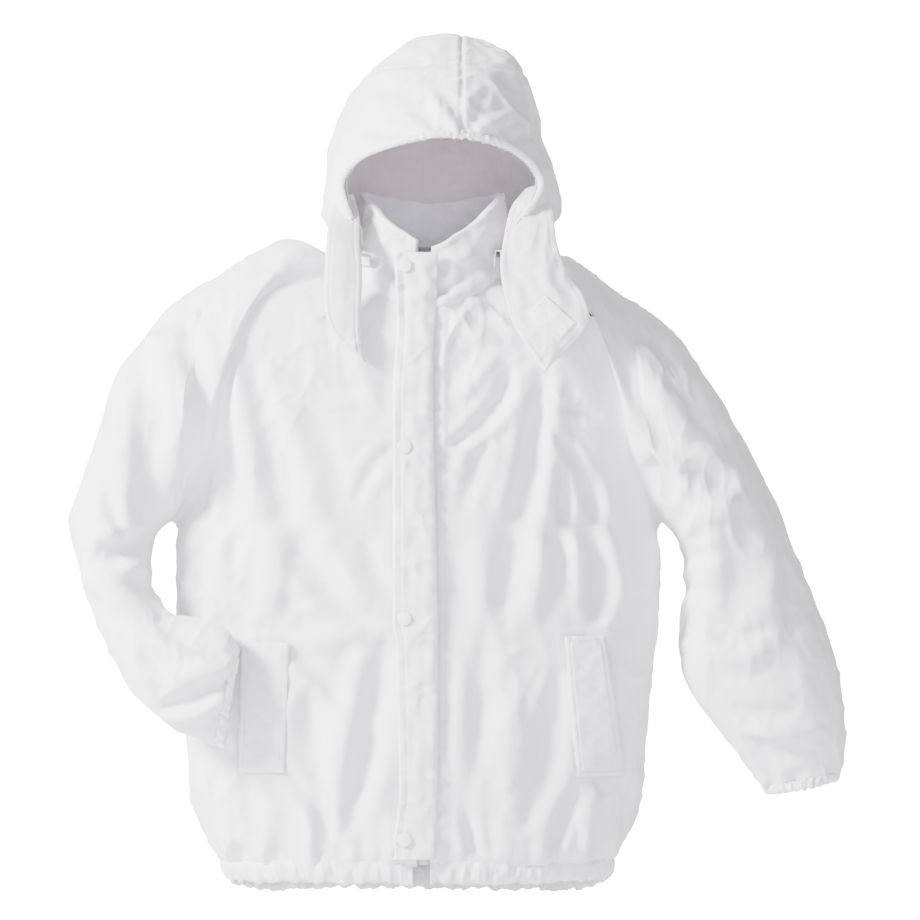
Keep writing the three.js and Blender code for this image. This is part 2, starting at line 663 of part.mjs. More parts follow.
function makeChinFlaps() {
  const thickness = 4;
  const leftY = -119;
  const rightY = -122;
  const left = flapSurface([[-68, 790, -96, 762], [-68, 735, -109, 712], [-68, 655, -108, 655], [-66, 606, -80, 616]],
    leftY);
  piece('chin_flap_left', sheet(left, { across: 2, along: 7, thickness }), cloth);
  const right = flapSurface([[116, 800, 146, 762], [92, 715, 186, 688], [104, 650, 194, 650], [142, 596, 170, 618]],
    rightY);
  piece('chin_flap_right', sheet(right, { across: 3, along: 7, thickness, outward: -1 }), cloth);
  const patch = (x, z, y) => {
    const plate = new THREE.BoxGeometry(46, 1.4, 24);
    plate.rotateY(rad(42));
    const spot = graded(x, y, z);
    return plate.translate(spot.x, spot.y, spot.z);
  };
  piece('hook_patch', patch(151, 655, rightY - clearance - 0.7), hook);
  const loops = new THREE.BoxGeometry(24, 1.4, 46);
  const spot = graded(-88, leftY, 680);
  piece('loop_patch', loops.translate(spot.x, spot.y + thickness + clearance + 0.7, spot.z), hook);
}

// ---------- Sleeves ----------
// Stations from the armhole to the cuff: outer x, outer z, inner x, inner z, middle y, half depth.
const sleeves = {
  left: track([
    [-250, 701, -294, 411, 0, 101],
    [-302, 664, -303, 406, -3, 97],
    [-346, 604, -309, 396, -8, 90],
    [-372, 532, -312, 382, -16, 82],
    [-398, 458, -314, 366, -26, 74],
    [-408, 420, -311, 350, -36, 68],
    [-398, 376, -302, 332, -50, 64],
    [-380, 318, -290, 314, -68, 58],
    [-358, 266, -264, 306, -90, 52],
    [-322, 212, -238, 303, -112, 42],
    [-280, 182, -220, 292, -122, 32],
    [-246, 168, -211, 276, -122, 24],
    [-226, 161, -209, 258, -120, 18],
  ]),
  right: track([
    [241, 682, 286, 410, 0, 101],
    [292, 645, 297, 402, -3, 97],
    [340, 578, 306, 386, -5, 90],
    [380, 514, 308, 366, -8, 84],
    [418, 432, 306, 344, -12, 78],
    [438, 380, 302, 306, -16, 73],
    [460, 322, 301, 262, -20, 69],
    [482, 266, 309, 230, -24, 64],
    [491, 206, 338, 186, -28, 56],
    [495, 168, 366, 152, -30, 44],
    [494, 148, 382, 134, -31, 34],
    [490, 134, 392, 120, -32, 31],
    [485, 120, 402, 104, -33, 30],
  ]),
};
const elbow = { left: 5 / 12, right: 4 / 12 };
const joinGap = 0.004;

function sleeveSurface(side) {
  return (u, v) => {
    const [outerX, outerZ, innerX, innerZ, middleY, depth] = sleeves[side](v);
    const angle = 2 * Math.PI * u;
    const reach = Math.sin(angle) / 2;
    return graded(
      (outerX + innerX) / 2 + reach * (outerX - innerX),
      middleY - Math.cos(angle) * depth,
      (outerZ + innerZ) / 2 + reach * (outerZ - innerZ),
    );
  };
}

function makeSleeves() {
  for (const [side, sign] of [['left', -1], ['right', 1]]) {
    const tube = sleeveSurface(side);
    const bend = elbow[side];
    const cuff = 1 - cuffBand;
    const outward = -sign;
    const part = (name, from, to, options, finish = cloth) =>
      piece(`${name}_${side}`, sheet(trimmed(tube, 0, 1, from, to), { closed: true, outward, ...options }), finish);
    part('upper_sleeve', joinGap, bend - joinGap, { across: 16, along: 6, thickness: shellThickness });
    part('lower_sleeve', bend + joinGap, cuff - joinGap, { across: 16, along: 8, thickness: shellThickness });
    makeCuff(side, tube, cuff, outward);
  }
}

// Cuff: an outer and an inner wall with the elastic between them, open towards the sleeve.
function makeCuff(side, tube, cuff, outward) {
  const wall = 1.5;
  const depth = 6;
  const outer = sheet(trimmed(tube, 0, 1, cuff, 1), { across: 16, along: 1, thickness: depth, closed: true, outward });
  const groove = sheet(trimmed(tube, 0, 1, cuff - 0.01, 1 - 0.008),
    { across: 16, along: 1, thickness: depth - 2 * wall, inset: wall, closed: true, outward });
  piece(`cuff_casing_${side}`, cut(outer, groove), cloth);
  piece(`cuff_elastic_${side}`, sheet(trimmed(tube, 0, 1, cuff + 0.006, 1 - 0.014),
    { across: 16, along: 1, thickness: elasticThickness, inset: wall + 0.8, closed: true, outward }), rubber);
}

// ---------- Pockets ----------
function makePockets() {
  for (const [side, sign] of [['left', -1], ['right', 1]]) {
    const { inner, outer, bottom, top } = pockets[side];
    const welt = (u, v) => {
      const x = lerp(lerp(inner[0], inner[1], v), lerp(outer[0], outer[1], v), u);
      const z = lerp(bottom, top, v);
      const rise = Math.sin(Math.PI * v) ** 0.5 * pocketLift * u * u;
      return graded(x, frontDepth(x, z) - 6 - rise, z);
    };
    piece(`pocket_welt_${side}`, sheet(welt, { across: 4, along: 6, thickness: 3, outward: sign }), cloth);
    const bag = (u, v) => {
      const x = lerp(sign * bagReach, lerp(outer[0], outer[1], v), u);
      const z = lerp(bottom - 30, top + 4, v);
      return graded(x, frontDepth(x, z), z);
    };
    const inset = shellThickness + liningGap + liningThickness + 3;
    const pouch = sheet(bag, { across: 5, along: 3, thickness: bagDepth, inset, outward: sign });
    const room = sheet(trimmed(bag, 0.02, 1.05, 0.015, 0.985),
      { across: 5, along: 3, thickness: bagDepth - 2 * bagWall, inset: inset + bagWall, outward: sign });
    piece(`pocket_bag_${side}`, cut(pouch, room), lining);
  }
}

makeBodyPanels();
makeHem();
makeFrontZip();
makePlacket();
makeCollar();
makeHangerLoop();
makeHoodZip();
makeHood();
makeChinFlaps();
makeSleeves();
makePockets();

export default jacket;
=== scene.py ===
"""Looks of the padded beekeeping jacket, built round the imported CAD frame.

Stations are in millimetres from the hem, as in the part's source, and are shifted to the
part frame, whose origin is the hanger loop, when a mesh is made. "Left" is the -X side.
"""

import math

import bmesh
import bpy
import numpy as np
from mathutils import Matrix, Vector


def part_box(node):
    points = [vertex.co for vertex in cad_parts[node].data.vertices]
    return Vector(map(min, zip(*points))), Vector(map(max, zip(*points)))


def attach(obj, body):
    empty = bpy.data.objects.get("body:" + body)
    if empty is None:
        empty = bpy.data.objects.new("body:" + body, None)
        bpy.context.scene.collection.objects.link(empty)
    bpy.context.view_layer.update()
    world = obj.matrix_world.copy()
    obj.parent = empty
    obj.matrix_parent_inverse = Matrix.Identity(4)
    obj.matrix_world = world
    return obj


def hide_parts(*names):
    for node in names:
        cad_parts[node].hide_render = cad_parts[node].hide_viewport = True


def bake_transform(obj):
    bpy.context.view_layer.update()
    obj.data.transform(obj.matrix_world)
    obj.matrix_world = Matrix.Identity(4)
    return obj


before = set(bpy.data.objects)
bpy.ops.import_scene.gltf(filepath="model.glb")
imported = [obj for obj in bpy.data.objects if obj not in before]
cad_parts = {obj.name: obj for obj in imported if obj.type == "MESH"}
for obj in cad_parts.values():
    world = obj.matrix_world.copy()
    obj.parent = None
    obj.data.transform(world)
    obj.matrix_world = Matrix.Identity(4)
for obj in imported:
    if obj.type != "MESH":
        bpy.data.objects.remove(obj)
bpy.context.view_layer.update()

# ---------- Driving measures, millimetres from the hem ----------
HOME = np.array([14.0, 58.0, 742.0])  # hanger loop
ZIP_X = 4.0
ZIP_GAP = 16.0
BODY_X = -4.0
NECK = (14.0, -15.0)
NECK_RADIUS = 88.0
SECTION_POWER = 2.4
HEM_Z = 25.0
UNDERARM_Z = 415.0
CLOTH_THICKNESS = 2.6
LINING_THICKNESS = 1.2
SNAP_HEIGHTS = (56.0, 310.0, 508.0, 716.0)
SNAP_X = -18.0
PLACKET_STANDOFF = 4.5
PLACKET_THICKNESS = 5.0
BACKDROP_WHITE = 24.0
AMBIENT = 0.84
KEY_POWER = 640.0
LENS = 260.0
HOOD_SPLIT_Y = 34

BODY_HALF = [(0, 222), (25, 228), (50, 246), (100, 261), (170, 268), (290, 280), (415, 284)]
BACK_Y = [(0, 96), (50, 108), (200, 116), (420, 124), (560, 124), (650, 112), (700, 94), (745, 74)]
SHOULDERS = {
    "left": [
        (-245, 703, -288, 415, 0, 104, -90),
        (-219, 719, -250, 478, 0, 104, -64),
        (-190, 735, -239, 548, -2, 102, -44),
        (-160, 749, -222, 612, -5, 96, -27),
        (-128, 744, -180, 692, -10, 76, -12),
        (-74, 714, -70, 708, -15, 30, 0),
    ],
    "right": [
        (236, 684, 280, 415, 0, 104, -90),
        (212, 702, 250, 482, 0, 104, -64),
        (188, 719, 236, 545, -2, 102, -44),
        (164, 731, 216, 622, -5, 96, -27),
        (131, 733, 179, 689, -10, 76, -12),
        (102, 714, 98, 708, -15, 30, 0),
    ],
}
SLEEVES = {
    "left": [
        (-250, 701, -294, 411, 0, 101),
        (-302, 664, -303, 406, -3, 97),
        (-346, 604, -309, 396, -8, 90),
        (-372, 532, -312, 382, -16, 82),
        (-398, 458, -314, 366, -26, 74),
        (-408, 420, -311, 350, -36, 68),
        (-398, 376, -302, 332, -50, 64),
        (-380, 318, -290, 314, -68, 58),
        (-358, 266, -264, 306, -90, 52),
        (-322, 212, -238, 303, -112, 42),
        (-280, 182, -220, 292, -122, 32),
        (-246, 168, -211, 276, -122, 24),
        (-226, 161, -209, 258, -120, 18),
    ],
    "right": [
        (241, 682, 286, 410, 0, 101),
        (292, 645, 297, 402, -3, 97),
        (340, 578, 306, 386, -5, 90),
        (380, 514, 308, 366, -8, 84),
        (418, 432, 306, 344, -12, 78),
        (438, 380, 302, 306, -16, 73),
        (460, 322, 301, 262, -20, 69),
        (482, 266, 309, 230, -24, 64),
        (491, 206, 338, 186, -28, 56),
        (495, 168, 366, 152, -30, 44),
        (494, 148, 382, 134, -31, 34),
        (490, 134, 392, 120, -32, 31),
        (485, 120, 402, 104, -33, 30),
    ],
}
ELBOW = {"left": 5 / 12, "right": 4 / 12}
SPLIT = {"left": 0.25, "right": 0.18}  # where the two sleeve pieces meet, above the elbow
CUFF = 1 - 0.045
POCKETS = {
    "left": {"inner": (-157, -151), "outer": (-209, -205), "bottom": 132, "top": 282, "lift": 15},
    "right": {"inner": (181, 167), "outer": (237, 213), "bottom": 127, "top": 289, "lift": 7},
}
HOOD = [
    (748, 16, 106, -121, 93),
    (763, 23, 127, -129, 109),
    (785, 26, 139, -134, 121),
    (826, 24, 135, -134, 130),
    (866, 19, 123, -126, 130),
    (905, 23, 112, -106, 121),
    (938, 30, 96, -78, 100),
    (963, 33, 72, -46, 72),
    (981, 30, 44, -16, 43),
    (988, 26, 20, 0, 23),
    (990, 26, 0.4, 10, 12),
]
FACE_OUTLINE = [
    (-74, 640), (-74, 756), (-88, 792), (-90, 818), (-68, 842), (-22, 858), (22, 866),
    (68, 863), (108, 850), (136, 824), (136, 796), (104, 756), (104, 640),
]
BRIM = [
    (-92, -52, 796), (-86, -72, 815), (-62, -99, 834), (-22, -123, 849), (22, -130, 857),
    (66, -122, 854), (102, -97, 842), (127, -74, 820), (136, -56, 800),
]

# Folds of the front, as (x, z) along each fold, with half width and height in millimetres.
# A negative height is a valley. They follow the way the cloth hangs from the raglan seams,
# the pocket corners, the placket and the gathered hem.
BODY_FOLDS = [
    (((-196, 606), (-184, 560), (-172, 500), (-150, 425), (-122, 368), (-84, 322), (-40, 300)), 15, -9),
    (((-214, 600), (-196, 520), (-184, 440), (-170, 350), (-160, 300)), 16, 6),
    (((-228, 580), (-224, 500), (-222, 430), (-212, 350)), 10, -7),
    (((-250, 520), (-250, 440), (-256, 350), (-252, 250)), 12, -7),
    (((-150, 560), (-128, 480), (-120, 420), (-110, 370)), 16, 5),
    (((-24, 512), (-52, 486), (-78, 440)), 8, -3.5),
    (((-84, 440), (-60, 385), (-36, 330)), 9, -4.5),
    (((-100, 400), (-78, 350), (-60, 315)), 10, 3.5),
    (((-160, 600), (-110, 575), (-60, 570)), 10, -3),
    (((-100, 660), (-66, 600), (-50, 540)), 12, 3.5),
    (((-150, 276), (-118, 246), (-78, 204)), 9, -5.5),
    (((-148, 288), (-100, 286), (-58, 296)), 12, 4.5),
    (((-126, 232), (-127, 180), (-120, 112)), 13, -8),
    (((-36, 300), (-46, 235), (-56, 170), (-74, 105), (-86, 60)), 14, -9),
    (((-66, 290), (-80, 220), (-92, 150), (-96, 60)), 13, 6),
    (((-148, 132), (-118, 88), (-100, 44)), 8, -5),
    (((-205, 128), (-190, 84), (-188, 36)), 10, -5),
    (((-232, 140), (-240, 100), (-226, 50)), 9, -5),
    (((-196, 300), (-178, 330), (-168, 390)), 12, 4),
    (((-160, 262), (-165, 205), (-160, 150)), 9, -3),
    (((108, 600), (92, 560), (64, 528), (34, 505)), 9, -7.5),
    (((92, 620), (66, 585), (40, 560)), 12, 4.5),
    (((80, 520), (64, 480), (50, 435)), 9, -4.5),
    (((142, 604), (137, 540), (128, 478), (112, 410), (100, 340), (98, 290)), 14, -9),
    (((164, 600), (152, 520), (146, 440), (136, 350), (130, 300)), 13, 6),
    (((70, 450), (68, 370), (66, 290)), 12, 4),
    (((150, 530), (172, 500), (196, 474)), 7, -4),
    (((146, 560), (180, 548), (214, 540)), 8, -3),
    (((160, 492), (162, 420), (158, 340)), 11, -6),
    (((180, 490), (198, 420), (204, 330), (206, 300)), 12, -7),
    (((172, 490), (182, 420), (184, 330)), 10, 4.5),
    (((222, 486), (240, 420), (256, 350), (254, 260)), 12, -7),
    (((210, 480), (222, 400), (232, 320)), 10, 5),
    (((262, 400), (266, 330), (262, 250)), 10, 4),
    (((160, 250), (152, 190), (140, 130), (118, 62)), 14, -8),
    (((112, 250), (104, 180), (98, 110)), 14, 5.5),
    (((76, 300), (70, 210), (66, 120)), 11, -4),
    (((44, 280), (46, 200), (44, 110)), 10, 3),
    (((182, 124), (168, 84), (150, 36)), 8, -6),
    (((236, 128), (238, 96), (214, 44)), 12, -7),
    (((52, 92), (58, 60), (74, 30)), 6, -5),
    (((202, 120), (196, 78), (188, 36)), 9, 6),
    (((60, 690), (82, 672), (110, 660)), 9, -4),
    (((36, 660), (62, 640), (96, 628)), 10, 4),
    (((-60, 690), (-84, 668), (-116, 650)), 9, -3.5),
]
BACK_FOLDS = [
    (((-180, 640), (-120, 560), (-60, 500), (0, 470)), 20, -7),
    (((190, 640), (130, 560), (70, 505), (10, 474)), 20, -7),
    (((-210, 520), (-170, 420), (-150, 300), (-140, 180)), 17, -8),
    (((214, 520), (180, 410), (156, 290), (150, 160)), 17, -8),
    (((-120, 440), (-96, 330), (-90, 200), (-104, 70)), 15, 7),
    (((116, 430), (92, 320), (82, 200), (96, 70)), 15, 7),
    (((-50, 420), (-44, 300), (-40, 170), (-52, 60)), 15, -7),
    (((40, 400), (46, 280), (40, 150), (46, 60)), 15, -7),
    (((-4, 640), (-2, 520), (2, 400)), 14, 4),
    (((-240, 400), (-236, 280), (-226, 150)), 13, 6),
    (((240, 400), (236, 270), (226, 140)), 13, 6),
    (((-110, 690), (-40, 664), (40, 664), (110, 690)), 13, -4),
    (((-190, 250), (-178, 160), (-180, 60)), 12, -6),
    (((188, 250), (176, 150), (180, 60)), 12, -6),
]
ARM_FOLDS = {
    "left": [
        (((-330, 640), (-318, 590), (-312, 540), (-314, 480), (-310, 420)), 15, -12),
        (((-300, 640), (-284, 580), (-266, 525)), 12, 7),
        (((-276, 660), (-256, 600), (-248, 545), (-256, 490), (-282, 430)), 13, -12),
        (((-330, 636), (-290, 654), (-256, 680)), 9, -6),
        (((-352, 640), (-348, 560), (-352, 480)), 20, 6),
        (((-384, 372), (-350, 386), (-312, 402)), 13, -13),
        (((-392, 360), (-350, 338), (-300, 306)), 13, 9),
        (((-366, 462), (-354, 430), (-336, 398)), 9, -7),
        (((-330, 470), (-326, 430), (-330, 400)), 8, -5),
        (((-346, 300), (-318, 270), (-282, 262), (-240, 270)), 11, -6),
        (((-296, 208), (-262, 218), (-214, 240)), 10, -9),
        (((-300, 196), (-262, 200), (-216, 222)), 8, 6),
        (((-300, 300), (-262, 284), (-216, 266)), 10, -7),
        (((-270, 250), (-240, 250), (-214, 254)), 8, 5),
        (((-330, 300), (-320, 250), (-300, 210)), 10, 4),
        (((-200, 700), (-180, 720), (-160, 735)), 8, -3),
    ],
    "right": [
        (((232, 622), (246, 570), (268, 528), (302, 500)), 12, -9),
        (((254, 630), (270, 580), (294, 548), (316, 520)), 12, 7),
        (((256, 486), (274, 470), (290, 440)), 14, -14),
        (((300, 482), (332, 474), (368, 456)), 11, -11),
        (((306, 404), (336, 430), (372, 452)), 12, 7),
        (((318, 596), (342, 560), (360, 520)), 15, 5),
        (((372, 440), (374, 370), (366, 300)), 18, -6),
        (((340, 420), (336, 350), (332, 280)), 14, 6),
        (((320, 330), (340, 300), (372, 290), (404, 296)), 10, -6),
        (((330, 270), (370, 262), (410, 276)), 11, 5),
        (((420, 380), (430, 330), (424, 280)), 13, -5),
        (((360, 206), (396, 196), (440, 204)), 11, -6),
        (((372, 172), (410, 152), (464, 156)), 9, -6),
        (((384, 190), (420, 176), (470, 182)), 9, 5),
        (((268, 640), (286, 620), (304, 590)), 9, -4),
    ],
}
# Folds of the hood's front, radiating from the gathered brim.
HOOD_FOLDS = [
    (((42, 866), (26, 890), (10, 918)), 8, 5),
    (((30, 866), (8, 884), (-18, 900)), 7, -3.5),
    (((64, 868), (88, 882), (112, 896)), 8, 4.5),
    (((54, 868), (66, 896), (80, 922)), 8, -3.5),
    (((-6, 860), (-40, 872), (-72, 878)), 7, -3),
    (((-30, 852), (-62, 858), (-92, 852)), 7, 3),
    (((100, 858), (120, 866), (136, 872)), 7, -4),
    (((-60, 930), (-34, 916), (-6, 914)), 10, -2.5),
    (((-52, 950), (-20, 958), (10, 952)), 8, -2.5),
    (((78, 944), (98, 936), (112, 920)), 8, -3),
    (((-96, 900), (-86, 870), (-88, 840)), 8, 2.5),
    (((132, 880), (136, 850), (146, 830)), 8, -6),
    (((150, 836), (156, 806), (152, 770)), 9, 4),
]


# ---------- Shared helpers ----------
def to_frame(points):
    return (np.asarray(points, float) - HOME) / 1000.0


def lerp(a, b, t):
    return a + (b - a) * t


def smooth(low, high, value):
    t = np.clip((value - low) / (high - low), 0, 1)
    return t * t * (3 - 2 * t)


def track(rows, t):
    """Smooth curve through equally spaced rows, at each t from 0 to 1."""
    rows = np.asarray(rows, float)
    last = len(rows) - 1
    place = np.clip(np.asarray(t, float), 0, 1) * last
    i = np.minimum(place.astype(int), last - 1)
    f = (place - i)[..., None]
    here, after = rows[i], rows[i + 1]
    before = rows[np.maximum(i - 1, 0)]
    beyond = rows[np.minimum(i + 2, last)]
    start = (after - before) / np.where(i == 0, 1, 2)[..., None]
    end = (beyond - here) / np.where(i + 2 > last, 1, 2)[..., None]
    h = f * f * (3 - 2 * f)
    return here + (after - here) * h + start * f * (1 - f) ** 2 - end * f * f * (1 - f)


def graph(pairs, x, window=22.0):
    """Value at x of a line through pairs, with its corners rounded over the window."""
    xs, ys = zip(*pairs)
    return np.mean([np.interp(np.asarray(x) + k * window, xs, ys) for k in (-0.6, -0.3, 0, 0.3, 0.6)], axis=0)


def wander(points, scale, seed, waves=7):
    """Smooth value from about -1 to 1 that changes over distances of about scale."""
    rng = np.random.default_rng(seed)
    points = np.asarray(points, float)
    total = np.zeros(points.shape[:-1])
    for _ in range(waves):
        direction = rng.normal(size=points.shape[-1])
        direction *= rng.uniform(0.7, 1.4) * 2 * math.pi / scale / np.linalg.norm(direction)
        total += np.sin(points @ direction + rng.uniform(0, 2 * math.pi))
    return total / math.sqrt(waves * 2)


def fold_height(x, z, folds):
    """Height of all folds at x, z: each a crest or valley with softer shoulders beside it."""
    total = np.zeros_like(x)
    for path, width, height in folds:
        line = track(path, np.linspace(0, 1, 18))
        reach = 3.4 * width
        near = (
            (x > line[:, 0].min() - reach) & (x < line[:, 0].max() + reach)
            & (z > line[:, 1].min() - reach) & (z < line[:, 1].max() + reach)
        )
        if not near.any():
            continue
        p = np.stack([x[near], z[near]], -1)
        closest, along = np.full(len(p), 1e9), np.zeros(len(p))
        for k in range(len(line) - 1):
            step = line[k + 1] - line[k]
            rel = p - line[k]
            s = np.clip(rel @ step / (step @ step), 0, 1)
            d = np.hypot(*(rel - s[:, None] * step).T)
            better = d < closest
            closest[better] = d[better]
            along[better] = (k + s[better]) / (len(line) - 1)
        fade = np.sin(math.pi * np.clip(along, 0, 1)) ** 0.7
        w = width * (0.5 + 0.5 * fade)
        shape = np.exp(-((closest / w) ** 1.7)) - 0.38 * np.exp(-(((closest - 1.9 * w) / (0.9 * w)) ** 2))
        total[near] += height * fade * shape
    return total


def grid_faces(rows, cols, wrap=False):
    r = np.arange(rows - 1)[:, None]
    c = np.arange(cols if wrap else cols - 1)[None, :]
    n = (c + 1) % cols
    quads = np.stack([r * cols + c, r * cols + n, (r + 1) * cols + n, (r + 1) * cols + c], -1)
    return quads.reshape(-1, 4)


def crease(points, scale, seed):
    """Sharp-topped ridges, here and there: 0 between them, 1 on a crest."""
    where = smooth(-0.3, 0.7, wander(points, scale * 2.4, seed + 500))
    return np.exp(-np.abs(wander(points, scale, seed, 5)) * 4.0) * where


def relax(points, quads, rounds, share=None):
    """Evens out a welded surface, its open edges held. A share for each point melts it there only."""
    first, second = quads.ravel(), np.roll(quads, -1, axis=1).ravel()
    total = len(points)
    pair = np.minimum(first, second).astype(np.int64) * total + np.maximum(first, second)
    _, spot, times = np.unique(pair, return_inverse=True, return_counts=True)
    single = times[spot.ravel()] == 1
    held = np.zeros(total, bool)
    held[first[single]] = held[second[single]] = True
    degree = np.bincount(first, minlength=total) + np.bincount(second, minlength=total)
    for turn in range(rounds):
        near = np.stack([
            np.bincount(first, points[second, k], minlength=total)
            + np.bincount(second, points[first, k], minlength=total)
            for k in range(3)], -1) / np.maximum(degree, 1)[:, None]
        step = (0.6 if turn % 2 == 0 else -0.54) if share is None else 0.6 * share[:, None]
        points = np.where(held[:, None], points, lerp(points, near, step))
    return points


def sag(points):
    """The back of the hem hangs lower than its front."""
    low = points.copy()
    low[..., 2] -= 17 * smooth(0, 70, points[..., 1]) * smooth(150, 10, points[..., 2])
    return low


def edge_points(quads):
    """Indices of the points on the open edges of a mesh."""
    first, second = quads.ravel(), np.roll(quads, -1, axis=1).ravel()
    pair = np.minimum(first, second).astype(np.int64) * (quads.max() + 1) + np.maximum(first, second)
    _, spot, times = np.unique(pair, return_inverse=True, return_counts=True)
    single = times[spot.ravel()] == 1
    return np.unique(np.concatenate([first[single], second[single]]))


def vertex_normals(points, faces):
    a, b, c, d = (points[faces[:, k]] for k in range(4))
    flat = np.cross(c - a, d - b)
    out = np.zeros_like(points)
    for k in range(4):
        np.add.at(out, faces[:, k], flat)
    return out / np.maximum(np.linalg.norm(out, axis=1, keepdims=True), 1e-9)


def thick_mesh(points, normals, faces, thickness):
    """Closed sheet: the faces, their copy moved inward, and a rim round every open edge."""
    used, back = np.unique(faces, return_inverse=True)
    points, normals, faces = points[used], normals[used], back.reshape(faces.shape)
    count = len(points)
    edges = np.concatenate([faces[:, [k, (k + 1) % 4]] for k in range(4)])
    key = np.sort(edges, axis=1)
    _, first, uses = np.unique(key, axis=0, return_index=True, return_counts=True)
    rim = edges[first[uses == 1]]
    verts = np.concatenate([points, points - normals * thickness])
    sides = np.stack([rim[:, 1], rim[:, 0], rim[:, 0] + count, rim[:, 1] + count], 1)
    all_faces = np.concatenate([faces, faces[:, ::-1] + count, sides])
    loop = np.concatenate([
        normals[faces.ravel()], -normals[faces[:, ::-1].ravel()], np.zeros((sides.size, 3)),
    ])
    return verts, all_faces, loop


def new_object(name, verts, faces, material, loop_normals=None, scaled=True):
    mesh = bpy.data.meshes.new(name)
    verts = to_frame(verts) if scaled else np.asarray(verts)
    face_list = faces.tolist() if isinstance(faces, np.ndarray) else faces
    mesh.from_pydata(verts.tolist(), [], face_list)
    mesh.polygons.foreach_set("use_smooth", [True] * len(mesh.polygons))
    if loop_normals is not None:
        mesh.normals_split_custom_set(loop_normals.tolist())
    mesh.update()
    obj = bpy.data.objects.new(name, mesh)
    bpy.context.scene.collection.objects.link(obj)
    obj.data.materials.append(material)
    return obj


def declare_sheet(quads):
    """Sums two opposite sides of each face of a sheet; the sums are not used.
    """
    sides = np.linalg.norm(quads[:, 1] - quads[:, 0], axis=1)
    sides = sides + np.linalg.norm(quads[:, 3] - quads[:, 2], axis=1)


def declare_grid(grid):
    faces = grid_faces(*grid.shape[:2])
    declare_sheet(grid.reshape(-1, 3)[faces])


def make_camera():
    data = bpy.data.cameras.new("camera")
    data.lens = LENS
    data.sensor_width = 36.0
    camera = bpy.data.objects.new("camera", data)
    front_plane = -0.17
    distance = 1.058 / 2 / math.tan(math.atan(18 / LENS))
    camera.location = (0.032, front_plane - distance, -0.250)
    camera.rotation_euler = (math.pi / 2, 0, 0)
    bpy.context.scene.collection.objects.link(camera)
    bpy.context.scene.camera = camera


def area_light(name, place, target, size, power, colour):
    data = bpy.data.lights.new(name, "AREA")
    data.shape = "DISK"
    data.size = size
    data.energy = power
    data.color = colour
    light = bpy.data.objects.new(name, data)
    light.location = place
    light.rotation_mode = "QUATERNION"
    light.rotation_quaternion = (Vector(target) - Vector(place)).to_track_quat("-Z", "Y")
    bpy.context.scene.collection.objects.link(light)


def white_to_camera(tree, shader_output, target):
    """Shows plain white to the camera, and gives off only the shader's own light."""
    path = node(tree, "ShaderNodeLightPath")
    on_object = target.node.type == "OUTPUT_MATERIAL"
    white = node(tree, "ShaderNodeEmission" if on_object else "ShaderNodeBackground")
    white.inputs["Color"].default_value = (1, 1, 1, 1)
    white.inputs["Strength"].default_value = BACKDROP_WHITE
    mix = node(tree, "ShaderNodeMixShader")
    tree.links.new(path.outputs["Is Camera Ray"], mix.inputs[0])
    tree.links.new(shader_output, mix.inputs[1])
    tree.links.new(white.outputs[0], mix.inputs[2])
    tree.links.new(mix.outputs[0], target)


def make_studio():
    middle = (0.03, 0, -0.25)
    area_light("key", (-2.5, -1.5, 1.3), middle, 0.8, KEY_POWER, (1.0, 0.99, 0.98))
    area_light("fill", (0.4, -3.2, 0.3), middle, 2.4, 60, (0.97, 0.97, 1.0))
    area_light("back", (0.3, 2.4, 1.6), middle, 1.6, 70, (1.0, 1.0, 1.0))
    world = bpy.data.worlds.new("studio")
    world.use_nodes = True
    tree = world.node_tree
    background = tree.nodes["Background"]
    background.inputs["Color"].default_value = (0.95, 0.94, 1.0, 1)
    background.inputs["Strength"].default_value = AMBIENT
    white_to_camera(tree, background.outputs[0], tree.nodes["World Output"].inputs["Surface"])
    bpy.context.scene.world = world
    size = 3.0
    floor_z = -0.86
    floor = new_object(
        "floor",
        np.array([(x * size, y * size, floor_z) for x, y in ((-1, -1), (1, -1), (1, 1), (-1, 1))]),
        [(0, 1, 2, 3)], floor_material(), scaled=False)


# ---------- Materials ----------
def material(name, colour, roughness, metallic=0.0, sheen=0.0, sheen_roughness=0.5):
    made = bpy.data.materials.new(name)
    made.use_nodes = True
    shader = made.node_tree.nodes["Principled BSDF"]
    shader.inputs["Base Color"].default_value = (*colour, 1)
    shader.inputs["Roughness"].default_value = roughness
    shader.inputs["Metallic"].default_value = metallic
    shader.inputs["Sheen Weight"].default_value = sheen
    shader.inputs["Sheen Roughness"].default_value = sheen_roughness
    return made, shader


def node(tree, kind, **values):
    made = tree.nodes.new(kind)
    for key, value in values.items():
        if hasattr(made, key):
            setattr(made, key, value)
        else:
            made.inputs[key.replace("_", " ")].default_value = value
    return made


